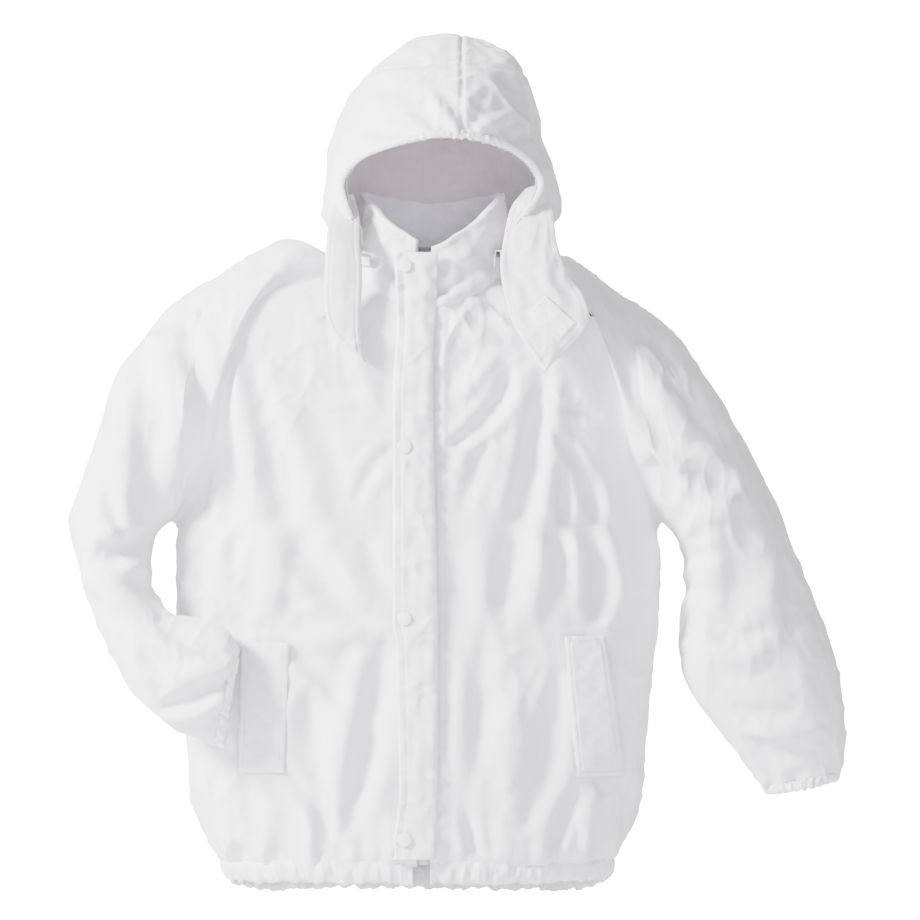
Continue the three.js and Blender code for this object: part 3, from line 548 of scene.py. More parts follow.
def woven(name, colour, shade, roughness=0.85, thread=0.0009, depth=0.25, mottle=0.045, sheen=0.25, rib=0.0):
    """Cloth: a two-way weave in relief, slubs, a slow change of colour, and a soft sheen."""
    made, shader = material(name, colour, roughness, sheen=sheen)
    tree = made.node_tree
    coords = node(tree, "ShaderNodeTexCoord")
    place = coords.outputs["Object"]
    turns = 2 * math.pi / thread / 20
    waves = []
    for direction in ("X", "Z"):
        wave = node(tree, "ShaderNodeTexWave", bands_direction=direction, Scale=turns, Distortion=0.6)
        wave.inputs["Detail"].default_value = 1.0
        wave.inputs["Detail Scale"].default_value = 2.0
        tree.links.new(place, wave.inputs["Vector"])
        waves.append(wave)
    cross = node(tree, "ShaderNodeMath", operation="MULTIPLY")
    tree.links.new(waves[0].outputs["Fac"], cross.inputs[0])
    tree.links.new(waves[1].outputs["Fac"], cross.inputs[1])
    slub = node(tree, "ShaderNodeTexNoise", Scale=420.0, Detail=3.0)
    tree.links.new(place, slub.inputs["Vector"])
    relief = node(tree, "ShaderNodeMath", operation="MULTIPLY_ADD")
    relief.inputs[1].default_value = 0.7
    tree.links.new(slub.outputs["Fac"], relief.inputs[0])
    tree.links.new(cross.outputs["Value"], relief.inputs[2])
    bump = node(tree, "ShaderNodeBump", Strength=depth, Distance=0.0004)
    tree.links.new(relief.outputs["Value"], bump.inputs["Height"])
    crumple = node(tree, "ShaderNodeTexNoise", Scale=32.0, Detail=5.0, Roughness=0.62)
    tree.links.new(place, crumple.inputs["Vector"])
    soft = node(tree, "ShaderNodeBump", Strength=0.55, Distance=0.0026)
    tree.links.new(crumple.outputs["Fac"], soft.inputs["Height"])
    tree.links.new(bump.outputs["Normal"], soft.inputs["Normal"])
    tree.links.new(soft.outputs["Normal"], shader.inputs["Normal"])
    patches = node(tree, "ShaderNodeTexNoise", Scale=9.0, Detail=5.0, Roughness=0.6)
    tree.links.new(place, patches.inputs["Vector"])
    ramp = node(tree, "ShaderNodeValToRGB")
    dim = tuple(c * (1 - mottle) for c in shade)
    ramp.color_ramp.elements[0].position = 0.32
    ramp.color_ramp.elements[0].color = (*dim, 1)
    ramp.color_ramp.elements[1].position = 0.68
    ramp.color_ramp.elements[1].color = (*colour, 1)
    tree.links.new(patches.outputs["Fac"], ramp.inputs["Fac"])
    threads = node(tree, "ShaderNodeMix", data_type="RGBA", blend_type="MULTIPLY")
    threads.inputs["Factor"].default_value = 0.10
    tree.links.new(ramp.outputs["Color"], threads.inputs[6])
    tree.links.new(cross.outputs["Value"], threads.inputs[7])
    tree.links.new(threads.outputs[2], shader.inputs["Base Color"])
    return made


def floor_material():
    made, shader = material("pale_floor", (0.9, 0.9, 0.92), 0.9)
    tree = made.node_tree
    white_to_camera(tree, shader.outputs[0], tree.nodes["Material Output"].inputs["Surface"])
    return made


WHITE = (0.80, 0.79, 0.83)
WHITE_SHADE = (0.76, 0.745, 0.79)
LAVENDER = (0.86, 0.80, 0.83)


def make_materials():
    found = {
        "shell": woven("white_cotton", WHITE, WHITE_SHADE),
        "trim": woven("white_trim", (0.82, 0.81, 0.84), (0.78, 0.77, 0.81), thread=0.0011),
        # Inner face of the chin flaps: the lining's tint, made darker than the lining's own colour as painted
        # shade
        "inside": woven("flap_inside_painted_shade", (0.72, 0.69, 0.72), (0.66, 0.63, 0.66)),
        "lining": woven("quilt_lining", LAVENDER, (0.78, 0.72, 0.75), thread=0.0008),
        "tape": woven("zip_tape", (0.70, 0.69, 0.72), (0.64, 0.63, 0.66), thread=0.0007, depth=0.4),
        "elastic": woven("ribbed_elastic", (0.66, 0.64, 0.62), (0.6, 0.58, 0.56), thread=0.0018, depth=0.6),
        "thread": material("sewing_thread", (0.62, 0.60, 0.64), 0.6, sheen=0.3)[0],
        "hook": nap_material(),
        "metal": metal_material(),
        "snap": snap_material(),
    }
    return found


def metal_material():
    made, shader = material("zip_metal", (0.42, 0.41, 0.42), 0.32, metallic=1.0)
    tree = made.node_tree
    coords = node(tree, "ShaderNodeTexCoord")
    wear = node(tree, "ShaderNodeTexNoise", Scale=260.0, Detail=6.0)
    ramp = node(tree, "ShaderNodeMapRange")
    ramp.inputs["To Min"].default_value = 0.24
    ramp.inputs["To Max"].default_value = 0.48
    bump = node(tree, "ShaderNodeBump", Strength=0.12, Distance=0.0002)
    tree.links.new(coords.outputs["Object"], wear.inputs["Vector"])
    tree.links.new(wear.outputs["Fac"], ramp.inputs["Value"])
    tree.links.new(ramp.outputs["Result"], shader.inputs["Roughness"])
    tree.links.new(wear.outputs["Fac"], bump.inputs["Height"])
    tree.links.new(bump.outputs["Normal"], shader.inputs["Normal"])
    return made


def snap_material():
    made, shader = material("white_enamel", (0.80, 0.79, 0.80), 0.34)
    tree = made.node_tree
    coords = node(tree, "ShaderNodeTexCoord")
    grain = node(tree, "ShaderNodeTexNoise", Scale=180.0, Detail=4.0)
    bump = node(tree, "ShaderNodeBump", Strength=0.1, Distance=0.0002)
    tree.links.new(coords.outputs["Object"], grain.inputs["Vector"])
    tree.links.new(grain.outputs["Fac"], bump.inputs["Height"])
    tree.links.new(bump.outputs["Normal"], shader.inputs["Normal"])
    return made


def nap_material():
    made, shader = material("hook_nap", (0.86, 0.85, 0.88), 0.95, sheen=0.6)
    tree = made.node_tree
    coords = node(tree, "ShaderNodeTexCoord")
    hooks = node(tree, "ShaderNodeTexVoronoi", Scale=700.0)
    bump = node(tree, "ShaderNodeBump", Strength=0.7, Distance=0.0006)
    tree.links.new(coords.outputs["Object"], hooks.inputs["Vector"])
    tree.links.new(hooks.outputs["Distance"], bump.inputs["Height"])
    tree.links.new(bump.outputs["Normal"], shader.inputs["Normal"])
    return made


# ---------- Body, shoulders and sleeves ----------
def shoulder_point(side, w, turn):
    top_x, top_z, seam_x, seam_z, middle_y, depth, angle = np.moveaxis(track(SHOULDERS[side], w), -1, 0)
    lift = 1 - np.sin(np.radians(angle))
    arm_x, arm_z = (top_x - seam_x) / lift, (top_z - seam_z) / lift
    theta = np.radians(lerp(angle, 180 - angle, turn))
    return np.stack([
        top_x - arm_x + np.sin(theta) * arm_x,
        middle_y - np.cos(theta) * depth,
        top_z - arm_z + np.sin(theta) * arm_z,
    ], -1)


def panel_point(side, u, v, back):
    u, v = np.broadcast_arrays(np.asarray(u, float), np.asarray(v, float))
    upper = np.maximum(2 * v - 1, 0)
    low_z = lerp(HEM_Z, UNDERARM_Z, 2 * v)
    reach = graph(BODY_HALF, low_z)
    low_reach = reach * (1 if side == "right" else -1)
    low_edge = np.stack([BODY_X + low_reach, np.zeros_like(v), low_z], -1)
    high_edge = shoulder_point(side, upper, np.full_like(v, 1.0 if back else 0.0))
    edge = np.where((v > 0.5)[..., None], high_edge, low_edge)
    z = np.where(v > 0.5, lerp(UNDERARM_Z, 734 if back else 672, upper), low_z)
    middle = lerp(BODY_X, NECK[0], upper**2) if back else ZIP_X + (-1 if side == "left" else 1) * ZIP_GAP / 2
    centre_y = graph(BACK_Y, z) if back else -118 + 0.02 * z
    widest = np.radians(lerp(90, 48, np.sqrt(upper)))
    power = 2 / SECTION_POWER
    angle = u * widest

    def out(a):
        return np.sin(a) ** power

    def fore(a):
        return np.maximum(np.cos(a), 0) ** power

    across = out(angle) / out(widest)
    drop = (fore(angle) - fore(widest)) / (1 - fore(widest))
    return np.stack([
        lerp(middle, edge[..., 0], across),
        lerp(edge[..., 1], centre_y, drop),
        lerp(z, edge[..., 2], across**2),
    ], -1)


def sleeve_point(side, t, turn):
    outer_x, outer_z, inner_x, inner_z, middle_y, depth = np.moveaxis(track(SLEEVES[side], t), -1, 0)
    theta = np.radians(-90 + 360 * turn)
    reach = np.sin(theta) / 2
    return np.stack([
        (outer_x + inner_x) / 2 + reach * (outer_x - inner_x),
        middle_y - np.cos(theta) * depth,
        (outer_z + inner_z) / 2 + reach * (outer_z - inner_z),
    ], -1)


LOW_ROWS = 118
HIGH_ROWS = 96
HALF_COLS = 84
RING_COLS = 168


def suit_parts():
    """Grids of the whole outer shell that share their points along every seam."""
    v = np.concatenate([np.linspace(0, 0.5, LOW_ROWS + 1), np.linspace(0.5, 1, HIGH_ROWS + 1)[1:]])[:, None]
    u = np.linspace(0, 1, HALF_COLS + 1)[None, :]
    parts = {
        "front_left": panel_point("left", u, v, False),
        "front_right": panel_point("right", u, v, False),
        "back": np.concatenate(
            [panel_point("left", u, v, True)[:, ::-1], panel_point("right", u, v, True)[:, 1:]], axis=1),
    }
    w = np.linspace(0, 1, HIGH_ROWS + 1)[:, None]
    turn = np.linspace(0, 1, RING_COLS + 1)[None, :]
    for side in ("left", "right"):
        wide, round_it = np.broadcast_arrays(w, turn)
        parts[f"raglan_{side}"] = shoulder_point(side, wide, round_it)
        split = SPLIT[side]
        near = split * np.linspace(0, 1, 44) ** 1.25
        far = np.linspace(split, CUFF, 132)
        for name, ts in (("upper", near), ("lower", far)):
            long, round_it = np.broadcast_arrays(ts[:, None], turn)
            grid = sleeve_point(side, long, round_it)
            if name == "upper":
                grid[0] = parts[f"raglan_{side}"][0]
            parts[f"{name}_{side}"] = grid
    return parts


def seam_pucker(points, place, count, depth, seed):
    """Small gathers beside a seam: place is the distance from it, in millimetres."""
    tight = np.exp(-((place / 9.0) ** 2))
    return depth * tight * wander(points, count, seed, 5) - 0.7 * np.exp(-((place / 3.4) ** 2))


def shape_suit(parts):
    """Adds folds, gathers and puckers to the shell. Returns points, faces, normals and part ranges."""
    names = list(parts)
    sizes = [parts[n].shape[0] * parts[n].shape[1] for n in names]
    starts = np.concatenate([[0], np.cumsum(sizes)])
    base = np.concatenate([parts[n].reshape(-1, 3) for n in names])
    key = np.floor(base * 20 + 0.1371).astype(np.int64)
    _, first, weld = np.unique(key, axis=0, return_index=True, return_inverse=True)
    weld = weld.ravel()
    faces = {}
    for n, s in zip(names, starts):
        quads = grid_faces(parts[n].shape[0], parts[n].shape[1]) + s
        mid = base[quads].mean(axis=1)
        normal = np.cross(base[quads[:, 2]] - base[quads[:, 0]], base[quads[:, 3]] - base[quads[:, 1]])
        away = mid - inside_point(n, mid)
        if (away * normal).sum() < 0:
            quads = quads[:, ::-1]
        faces[n] = quads
    joined = weld[np.concatenate(list(faces.values()))]
    lift = np.zeros(len(base))
    loose_normals = vertex_normals(base[first], joined)[weld]
    for n, s, e in zip(names, starts, starts[1:]):
        lift[s:e] = part_lift(n, base[s:e], loose_normals[s:e], parts[n].shape[:2])
    # a welded point takes the mean of what its parts ask for
    count = np.bincount(weld, minlength=len(first))
    merged = np.bincount(weld, lift, minlength=len(first)) / count
    even = relax(base[first], joined, 240)
    gap = seam_distance(parts, even)
    even = relax(even, joined, 130, np.exp(-((gap / 40) ** 2)))
    points = sag(even + vertex_normals(even, joined) * merged[:, None])
    points = relax(points, joined, 30, np.exp(-((gap / 11) ** 2)))
    normals = vertex_normals(points, joined)
    return points, weld, faces, normals, dict(zip(names, zip(starts, starts[1:])))


def seam_distance(parts, points):
    """How far each point lies from the raglan seams and from the underarm line."""
    fronts = ("front_left", "front_right")
    seams = [parts[n][LOW_ROWS::2, -1] for n in fronts]
    seams += [parts["back"][LOW_ROWS::2, 0], parts["back"][LOW_ROWS::2, -1]]
    seams += [parts[n][LOW_ROWS, ::3] for n in (*fronts, "back")]
    gap = np.full(len(points), 1e9)
    for place in np.concatenate(seams):
        gap = np.minimum(gap, ((points - place) ** 2).sum(-1))
    return np.sqrt(gap)


def inside_point(name, mid):
    """A point inside the shell at the height of each face."""
    if name.startswith(("upper", "lower")):
        side = name.split("_")[1]
        ts = np.linspace(0, 1, 60)
        rows = track(SLEEVES[side], ts)
        centres = np.stack([(rows[:, 0] + rows[:, 2]) / 2, rows[:, 4], (rows[:, 1] + rows[:, 3]) / 2], -1)
        nearest = np.argmin(((mid[:, None] - centres[None]) ** 2).sum(-1), axis=1)
        return centres[nearest]
    return np.stack([mid[:, 0] * 0.5, np.zeros(len(mid)), np.minimum(mid[:, 2], 600)], -1)


def part_lift(name, p, normals, shape):
    x, y, z = p.T
    facing_front = smooth(-0.15, 0.45, -normals[:, 1])
    facing_back = smooth(-0.15, 0.45, normals[:, 1])
    lift = 1.6 * wander(p, 95, 3) + 0.6 * wander(p, 34, 4) + 0.25 * wander(p, 15, 5)
    hanging = p * (1, 1, 0.4)
    lift += 4.2 * crease(hanging, 80, 301) + 2.4 * crease(p * (1, 1, 0.65), 44, 302) - 1.2
    lift += 1.3 * crease(p, 26, 303)
    rows, cols = shape
    v = np.repeat(np.linspace(0, 1, rows), cols)
    u = np.tile(np.linspace(0, 1, cols), rows)
    if name.startswith(("front", "back")):
        folds = BACK_FOLDS if name == "back" else BODY_FOLDS
        folded = 1.35 * fold_height(x, z, folds)
        lift += 11 * np.tanh(folded / 11) * (facing_back if name == "back" else facing_front)
        round_x = np.stack([x, y * 1.3], -1)
        rise = z - HEM_Z
        gather = wander(round_x, 46, 11, 9) * 8.5 * np.exp(-rise / 62)
        gather += wander(round_x, 24, 12, 9) * 5.5 * np.exp(-rise / 32)
        gather += wander(round_x, 12, 13, 9) * 2.2 * np.exp(-rise / 14)
        gather *= 0.2 + 0.8 * smooth(0, 20, rise)
        lift += gather - 3.5 * np.exp(-rise / 5)
        edge = (1 - np.abs(2 * u - 1)) / 2 if name == "back" else 1 - u
        lift += seam_pucker(p, edge * 440, 15, 0.8, 21)
        if name != "back":
            near_zip = np.abs(x - 20)
            lift += np.where(x > 12, seam_pucker(p, near_zip, 13, 1.1, 22), 0)
            band = np.where(x > 20, smooth(34, 29, x), 0)
            lift += band * 1.2
            pocket_side = name.split("_")[1]
            lift += pocket_ridge(pocket_side, x, z) * facing_front
    else:
        side = name.split("_")[1]
        front_folds = fold_height(x, z, ARM_FOLDS[side])
        mirrored = fold_height(x + 6, z + 14, ARM_FOLDS[side])
        folded = 1.2 * front_folds * facing_front + 0.6 * mirrored * facing_back
        lift += 9 * np.tanh(folded / 9)
        if name.startswith("raglan"):
            edge = np.minimum(u, 1 - u) * 420
            lift += seam_pucker(p, edge, 15, 0.8, 21)
            lift *= smooth(1.0, 0.9, v) * 0.8 + 0.2
        if name.startswith("lower"):
            along = v * (CUFF - SPLIT[side]) + SPLIT[side]
            near_cuff = (CUFF - along) * 620
            ring = np.stack([x - z * 0.3, y * 1.6], -1)
            tight = 4.6 * np.exp(-near_cuff / 34) * wander(ring, 30, 31, 9)
            tight += 2.2 * np.exp(-near_cuff / 12) * wander(ring, 13, 32, 9)
            lift += tight * (1.0 if side == "right" else 0.6) - 2.5 * np.exp(-near_cuff / 5)
            at_elbow = np.exp(-(((along - ELBOW[side]) / 0.09) ** 2))
            inner_side = smooth(0.3, -0.6, np.sin(np.radians(-90 + 360 * u)))
            lift += at_elbow * inner_side * 3.2 * np.sin(z / 7.0 + 1.2 * wander(p, 60, 33))
    return lift


def pocket_ridge(side, x, z):
    """Slight rise of the cloth round a welt, where its seam allowance lies."""
    pocket = POCKETS[side]
    t = np.clip((z - pocket["bottom"]) / (pocket["top"] - pocket["bottom"]), 0, 1)
    inner, outer = lerp(*pocket["inner"], t), lerp(*pocket["outer"], t)
    dx = np.maximum(np.minimum(inner, outer) - x, x - np.maximum(inner, outer))
    dz = np.maximum(pocket["bottom"] - z, z - pocket["top"])
    d = np.maximum(dx, dz)
    return 1.0 * np.exp(-((d / 6) ** 2)) - 1.2 * np.exp(-((d / 2) ** 2))


def slit_mask(mid):
    """Faces that lie in the slit behind a welt's outer edge."""
    cut = np.zeros(len(mid), bool)
    for side, pocket in POCKETS.items():
        toward = 1 if side == "left" else -1
        low, high = pocket["bottom"] + 9, pocket["top"] - 9
        t = (mid[:, 2] - low) / (high - low)
        edge = lerp(*pocket["outer"], t)
        a, b = edge + toward * 2, edge + toward * 14
        beside = (mid[:, 0] > np.minimum(a, b)) & (mid[:, 0] < np.maximum(a, b))
        cut |= (t > 0) & (t < 1) & beside & (mid[:, 1] < 0)
    return cut


def make_suit(mats):
    parts = suit_parts()
    points, weld, faces, normals, ranges = shape_suit(parts)
    wear = {
        "front_left": ("front_left_cloth", ("front_panel_left",)),
        "front_right": ("front_right_cloth", ("front_panel_right",)),
        "back": ("back_cloth", ("back_panel",)),
        "raglan_left": ("raglan_left_cloth", ("raglan_shoulder_left",)),
        "raglan_right": ("raglan_right_cloth", ("raglan_shoulder_right",)),
        "upper_left": ("upper_sleeve_left_cloth", ("upper_sleeve_left",)),
        "upper_right": ("upper_sleeve_right_cloth", ("upper_sleeve_right",)),
        "lower_left": ("lower_sleeve_left_cloth", ("lower_sleeve_left",)),
        "lower_right": ("lower_sleeve_right_cloth", ("lower_sleeve_right",)),
    }
    pieces = {}
    for key, (name, nodes) in wear.items():
        quads = weld[faces[key]]
        if key.startswith("front"):
            quads = quads[~slit_mask(points[quads].mean(axis=1))]
        verts, all_faces, loop = thick_mesh(points, normals, quads, CLOTH_THICKNESS)
        obj = new_object(name, verts, all_faces, mats["shell"], loop)
        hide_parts(*nodes)
        pieces[key] = obj
    for key, obj in pieces.items():
        side = key.split("_")[-1]
        if key.startswith("upper"):
            ring0 = parts[f"raglan_{side}"][0]
            top, low = ring0[RING_COLS // 2], ring0[0]
            along = (top - low) / np.linalg.norm(top - low)
            out = np.array([along[2], 0, -along[0]]) * (-1 if side == "left" else 1)
            out = out if (out[0] < 0) == (side == "left") else -out
            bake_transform(obj)
        elif key.startswith("lower"):
            row = track(SLEEVES[side], ELBOW[side])
            along = np.array([row[0] - row[2], 0, row[1] - row[3]])
            along /= np.linalg.norm(along)
            down = np.array([-along[2], 0, along[0]])
            down = down if down[2] < 0 else -down
            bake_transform(obj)
        else:
            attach(obj, "torso")
        declare_grid(parts[key])
    suit_stitches(mats, points, normals, weld, ranges)
    joined = weld[np.concatenate(list(faces.values()))]
    rim = points[edge_points(joined)]
    neck = rim[(rim[:, 2] > 600) & (np.hypot(rim[:, 0] - NECK[0], rim[:, 1] - NECK[1]) < 190)]
    return parts, points, neck


def suit_stitches(mats, points, normals, weld, ranges):
    """Topstitching beside the raglan seams and along the edge under the placket's seam."""
    lines, aims = [], []
    for side in ("left", "right"):
        start = ranges[f"raglan_{side}"][0]
        for column in (2, RING_COLS - 2):
            spots = weld[start + np.arange(4, HIGH_ROWS) * (RING_COLS + 1) + column]
            lines.append(points[spots] + normals[spots] * 0.3)
            aims.append(normals[spots])
    band = points[(points[:, 1] < -40) & (np.abs(points[:, 0] - 29.5) < 12)]
    z = np.linspace(34, 655, 900)
    spots = [int(np.argmin((band[:, 0] - 29.5) ** 2 + (band[:, 2] - at) ** 2)) for at in z]
    depth = np.convolve(np.pad(band[spots, 1], 6, mode="edge"), np.ones(13) / 13, mode="valid")
    lines.append(np.stack([np.full_like(z, 29.5), depth - 0.4, z], -1))
    aims.append(np.tile((0, -1.0, 0), (len(z), 1)))
    places, directions = np.concatenate(lines), np.concatenate(aims)

    def away(m):
        return directions[int(np.argmin(((places - m) ** 2).sum(-1)))]

    stitches("suit_topstitch", lines, away, mats["thread"], "torso")



# ---------- Bands that gather: hem casing, cuffs and brim ----------
def band_tube(name, path, away, up, half_deep, half_tall, mat, gather, wave, seed, wrap):
    """Soft tube along a path: an oval section whose surface is gathered across the path."""
    count = 28
    theta = np.linspace(0, 2 * math.pi, count, endpoint=False)
    path, away, up = path[:, None, :], away[:, None, :], up[:, None, :]
    ring_out = np.cos(theta)[None, :, None] * half_deep
    ring_up = np.sin(theta)[None, :, None] * half_tall
    grid = path + away * ring_out + up * ring_up
    centre = np.broadcast_to(path, grid.shape)
    radial = grid - centre
    radial /= np.linalg.norm(radial, axis=-1, keepdims=True)
    flat = path[:, 0, :]
    steps = np.concatenate([[0], np.cumsum(np.linalg.norm(np.diff(flat, axis=0), axis=1))])
    lines = np.stack([np.repeat(steps[:, None], count, 1), 6 * np.cos(theta)[None] + 0 * steps[:, None],
                      0.35 * half_tall * np.sin(theta)[None] + 0 * steps[:, None]], -1)
    ripple = gather * wander(lines, wave, seed, 9) + 0.45 * gather * wander(lines, wave * 0.5, seed + 1, 9)
    grid = grid + radial * ripple[..., None]
    rows = len(grid)
    faces = []
    for r in range(rows if wrap else rows - 1):
        n = (r + 1) % rows
        for c in range(count):
            d = (c + 1) % count
            faces.append((r * count + c, r * count + d, n * count + d, n * count + c))
    if not wrap:
        faces.append(tuple(range(count)))
        faces.append(tuple((rows - 1) * count + c for c in reversed(range(count))))
    obj = new_object(name, grid.reshape(-1, 3), faces, mat)
    fix_outward(obj)
    return obj


def fix_outward(obj):
    """Turns every face of a closed mesh to look outward."""
    made = bmesh.new()
    made.from_mesh(obj.data)
    bmesh.ops.recalc_face_normals(made, faces=made.faces)
    made.to_mesh(obj.data)
    made.free()


def hem_line(turn, inward, z):
    half = float(graph(BODY_HALF, z)) - inward
    power = 2 / SECTION_POWER
    start = math.asin(((ZIP_X + ZIP_GAP / 2 - BODY_X) / half) ** (1 / power))
    finish = 2 * math.pi - math.asin((abs(ZIP_X - ZIP_GAP / 2 - BODY_X + 4) / half) ** (1 / power))
    angle = lerp(start, finish, turn)
    x = np.sign(np.sin(angle)) * np.abs(np.sin(angle)) ** power
    y = -np.sign(np.cos(angle)) * np.abs(np.cos(angle)) ** power
    depth = np.where(y < 0, 118 - 0.02 * z, graph(BACK_Y, z)) - inward
    return np.stack([BODY_X + x * half, y * depth, np.full_like(x, z)], -1)


def make_hem(mats):
    turn = np.linspace(0, 1, 620)
    top, foot = sag(hem_line(turn, 4.5, 27.0)), sag(hem_line(turn, 4.5, 4.0))
    # even steps along the line
    steps = np.concatenate([[0], np.cumsum(np.linalg.norm(np.diff(top, axis=0), axis=1))])
    even = np.linspace(0, steps[-1], 620)
    top = np.stack([np.interp(even, steps, top[:, k]) for k in range(3)], -1)
    foot = np.stack([np.interp(even, steps, foot[:, k]) for k in range(3)], -1)
    front = smooth(40, -60, top[:, 1])
    foot[:, 2] += 4.0 * front
    path = (top + foot) / 2
    path[:, 2] += 1.6 * wander(path[:, :2], 60, 71, 6) + 1.0 * wander(path[:, :2], 22, 72, 6)
    up = top - foot
    up /= np.linalg.norm(up, axis=1, keepdims=True)
    tangent = np.gradient(path, axis=0)
    away = np.cross(up, tangent)
    away /= np.linalg.norm(away, axis=1, keepdims=True)
    obj = band_tube("hem_casing_cloth", path, away, up, 5.0, 13.0, mats["shell"], 2.4, 14.0, 81, False)
    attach(obj, "torso")
    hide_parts("hem_casing", "hem_elastic")


def make_cuffs(mats):
    for side in ("left", "right"):
        ts = np.linspace(0, 1, 240, endpoint=False)
        rim = sleeve_point(side, np.full_like(ts, 1.0), ts)
        base = sleeve_point(side, np.full_like(ts, CUFF), ts)
        closed = np.vstack([rim, rim[:1]])
        steps = np.concatenate([[0], np.cumsum(np.linalg.norm(np.diff(closed, axis=0), axis=1))])
        even = np.linspace(0, steps[-1], 240, endpoint=False)
        rim, base = (
            np.stack([np.interp(even, steps, np.append(ring[:, k], ring[0, k])) for k in range(3)], -1)
            for ring in (rim, base)
        )
        path = (rim + base) / 2
        along = rim - base
        long = np.linalg.norm(along, axis=1, keepdims=True)
        along /= long
        tangent = np.roll(path, -1, axis=0) - np.roll(path, 1, axis=0)
        away = np.cross(along, tangent)
        away /= np.linalg.norm(away, axis=1, keepdims=True)
        inward = path - path.mean(axis=0)
        if (away * inward).sum() < 0:
            away = -away
        half = float(long.mean()) / 2
        obj = band_tube(f"cuff_{side}_cloth", path - away * 3.0, away, along, 3.6, half + 1.5, mats["trim"],
                        1.4, 9.0, 90 + len(side), True)
        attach(obj, f"lower_arm_{side}")
        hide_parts(f"cuff_casing_{side}", f"cuff_elastic_{side}")


# ---------- Storm placket and snaps ----------
def placket_edges(z):
    left_z = (33, 51, 108, 190, 285, 300, 573, 650, 731)
    left_x = (-30, -30, -23, -25, -27, -31, -31, -26, -29)
    right_z = (33, 114, 178, 285, 317, 477, 584, 627, 682, 731)
    right_x = (16, 20, 20, 20, 20, 16, 14, 15, 19, 20)
    left = np.interp(z, left_z, left_x)
    right = np.interp(z, right_z, right_x)
    return left, right


def make_placket(mats):
    rows, cols = 300, 30
    z = np.linspace(33, 731, rows)[:, None]
    u = np.linspace(0, 1, cols)[None, :]
    z, u = np.broadcast_arrays(z, u)
    left, right = placket_edges(z)
    x = lerp(left, right, u)
    from_free, from_seam = (x - left), (right - x)
    puff = 1.6 * np.sin(math.pi * u) ** 0.6
    stitch = -1.1 * np.exp(-(((from_free - 8.5) / 1.3) ** 2)) - 1.5 * np.exp(-((from_seam / 3.0) ** 2))
    p = np.stack([x, np.zeros_like(x), z], -1)
    ripple = 1.1 * wander(p, 34, 51) + 0.6 * wander(p, 17, 52) + 1.8 * crease(p * (0.6, 1, 1.2), 30, 305)
    near_edge = np.exp(-from_free / 9) + np.exp(-from_seam / 9)
    pucker = 1.3 * near_edge * wander(p * (0.4, 1, 1), 13, 53, 8)
    high = smooth(560, 690, z) * (1 + 0 * z)
    creases = high * (4.4 * wander(p * (0.9, 1, 1.5), 40, 54) + 1.2 * wander(p, 19, 55))
    dimple = sum(-2.6 * np.exp(-((x - SNAP_X) ** 2 + (z - s) ** 2) / 11**2) for s in SNAP_HEIGHTS)
    rise = puff + stitch + ripple + pucker + creases * 0.6 + dimple
    y = -118 + 0.02 * z - PLACKET_STANDOFF - PLACKET_THICKNESS + 1.4 - np.clip(rise, -2.5, 5)
    grid = np.stack([x, y, z], -1)
    grid[:, 0, 1] += 1.6
    verts = rounded_slab(grid, (0, -1, 0), PLACKET_THICKNESS - 1.4)
    obj = new_object("storm_placket_cloth", *verts[:2], mats["shell"])
    fix_outward(obj)
    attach(obj, "placket")
    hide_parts("storm_placket")
    declare_grid(grid)
    lines = []
    for shift, edge in ((8.5, "free"), (3.2, "free"), (2.6, "seam")):
        zs = np.linspace(38, 726, 1400)
        a, b = placket_edges(zs)
        xs = a + shift if edge == "free" else b - shift
        us = (xs - a) / (b - a)
        line_y = grid_value(grid[..., 1], (zs - 33) / 698, us)
        lines.append(np.stack([xs, line_y - 0.25, zs], -1))
    stitches("placket_topstitch", lines, (0, -1, 0), mats["thread"], "placket")
    return grid


def grid_value(values, v, u):
    """Value of a grid at shares v and u of its rows and columns."""
    rows, cols = values.shape
    r, c = np.clip(v, 0, 1) * (rows - 1), np.clip(u, 0, 1) * (cols - 1)
    i, j = np.minimum(r.astype(int), rows - 2), np.minimum(c.astype(int), cols - 2)
    fr, fc = r - i, c - j
    low = lerp(values[i, j], values[i, j + 1], fc)
    return lerp(low, lerp(values[i + 1, j], values[i + 1, j + 1], fc), fr)


def rounded_slab(grid, face, thickness):
    """Closed slab behind a grid of points, its rim rounded by drawing the edge in."""
    rows, cols, _ = grid.shape
    face = np.asarray(face, float)
    layers = []
    for share, inset in ((0.0, 0.0), (0.22, -0.45), (0.78, -0.45), (1.0, 0.0)):
        layer = grid - face * thickness * share
        shift = inset * thickness * 0.4
        grown = layer.copy()
        centre = layer.mean(axis=1, keepdims=True)
        edge = np.zeros((rows, cols, 1))
        edge[0], edge[-1], edge[:, 0], edge[:, -1] = 1, 1, 1, 1
        away = layer - centre
        away /= np.maximum(np.linalg.norm(away, axis=-1, keepdims=True), 1e-9)
        grown = grown - away * edge * shift
        layers.append(grown)
    n = rows * cols
    points = np.concatenate([layers[0].reshape(-1, 3), layers[3].reshape(-1, 3)])
    front = grid_faces(rows, cols)
    back = front[:, ::-1] + n
    loop = np.concatenate([
        np.arange(cols), np.arange(1, rows) * cols + cols - 1,
        (rows - 1) * cols + np.arange(cols - 2, -1, -1), np.arange(rows - 2, 0, -1) * cols,
    ])
    count = len(loop)
    mid = np.concatenate([layers[1].reshape(-1, 3)[loop], layers[2].reshape(-1, 3)[loop]])
    points = np.concatenate([points, mid])
    first, second = 2 * n + np.arange(count), 2 * n + count + np.arange(count)
    rings = [loop, first, second, loop + n]
    sides = [
        np.stack([a, np.roll(a, -1), np.roll(b, -1), b], 1) for a, b in zip(rings, rings[1:])
    ]
    return points, np.concatenate([front, back, *sides])


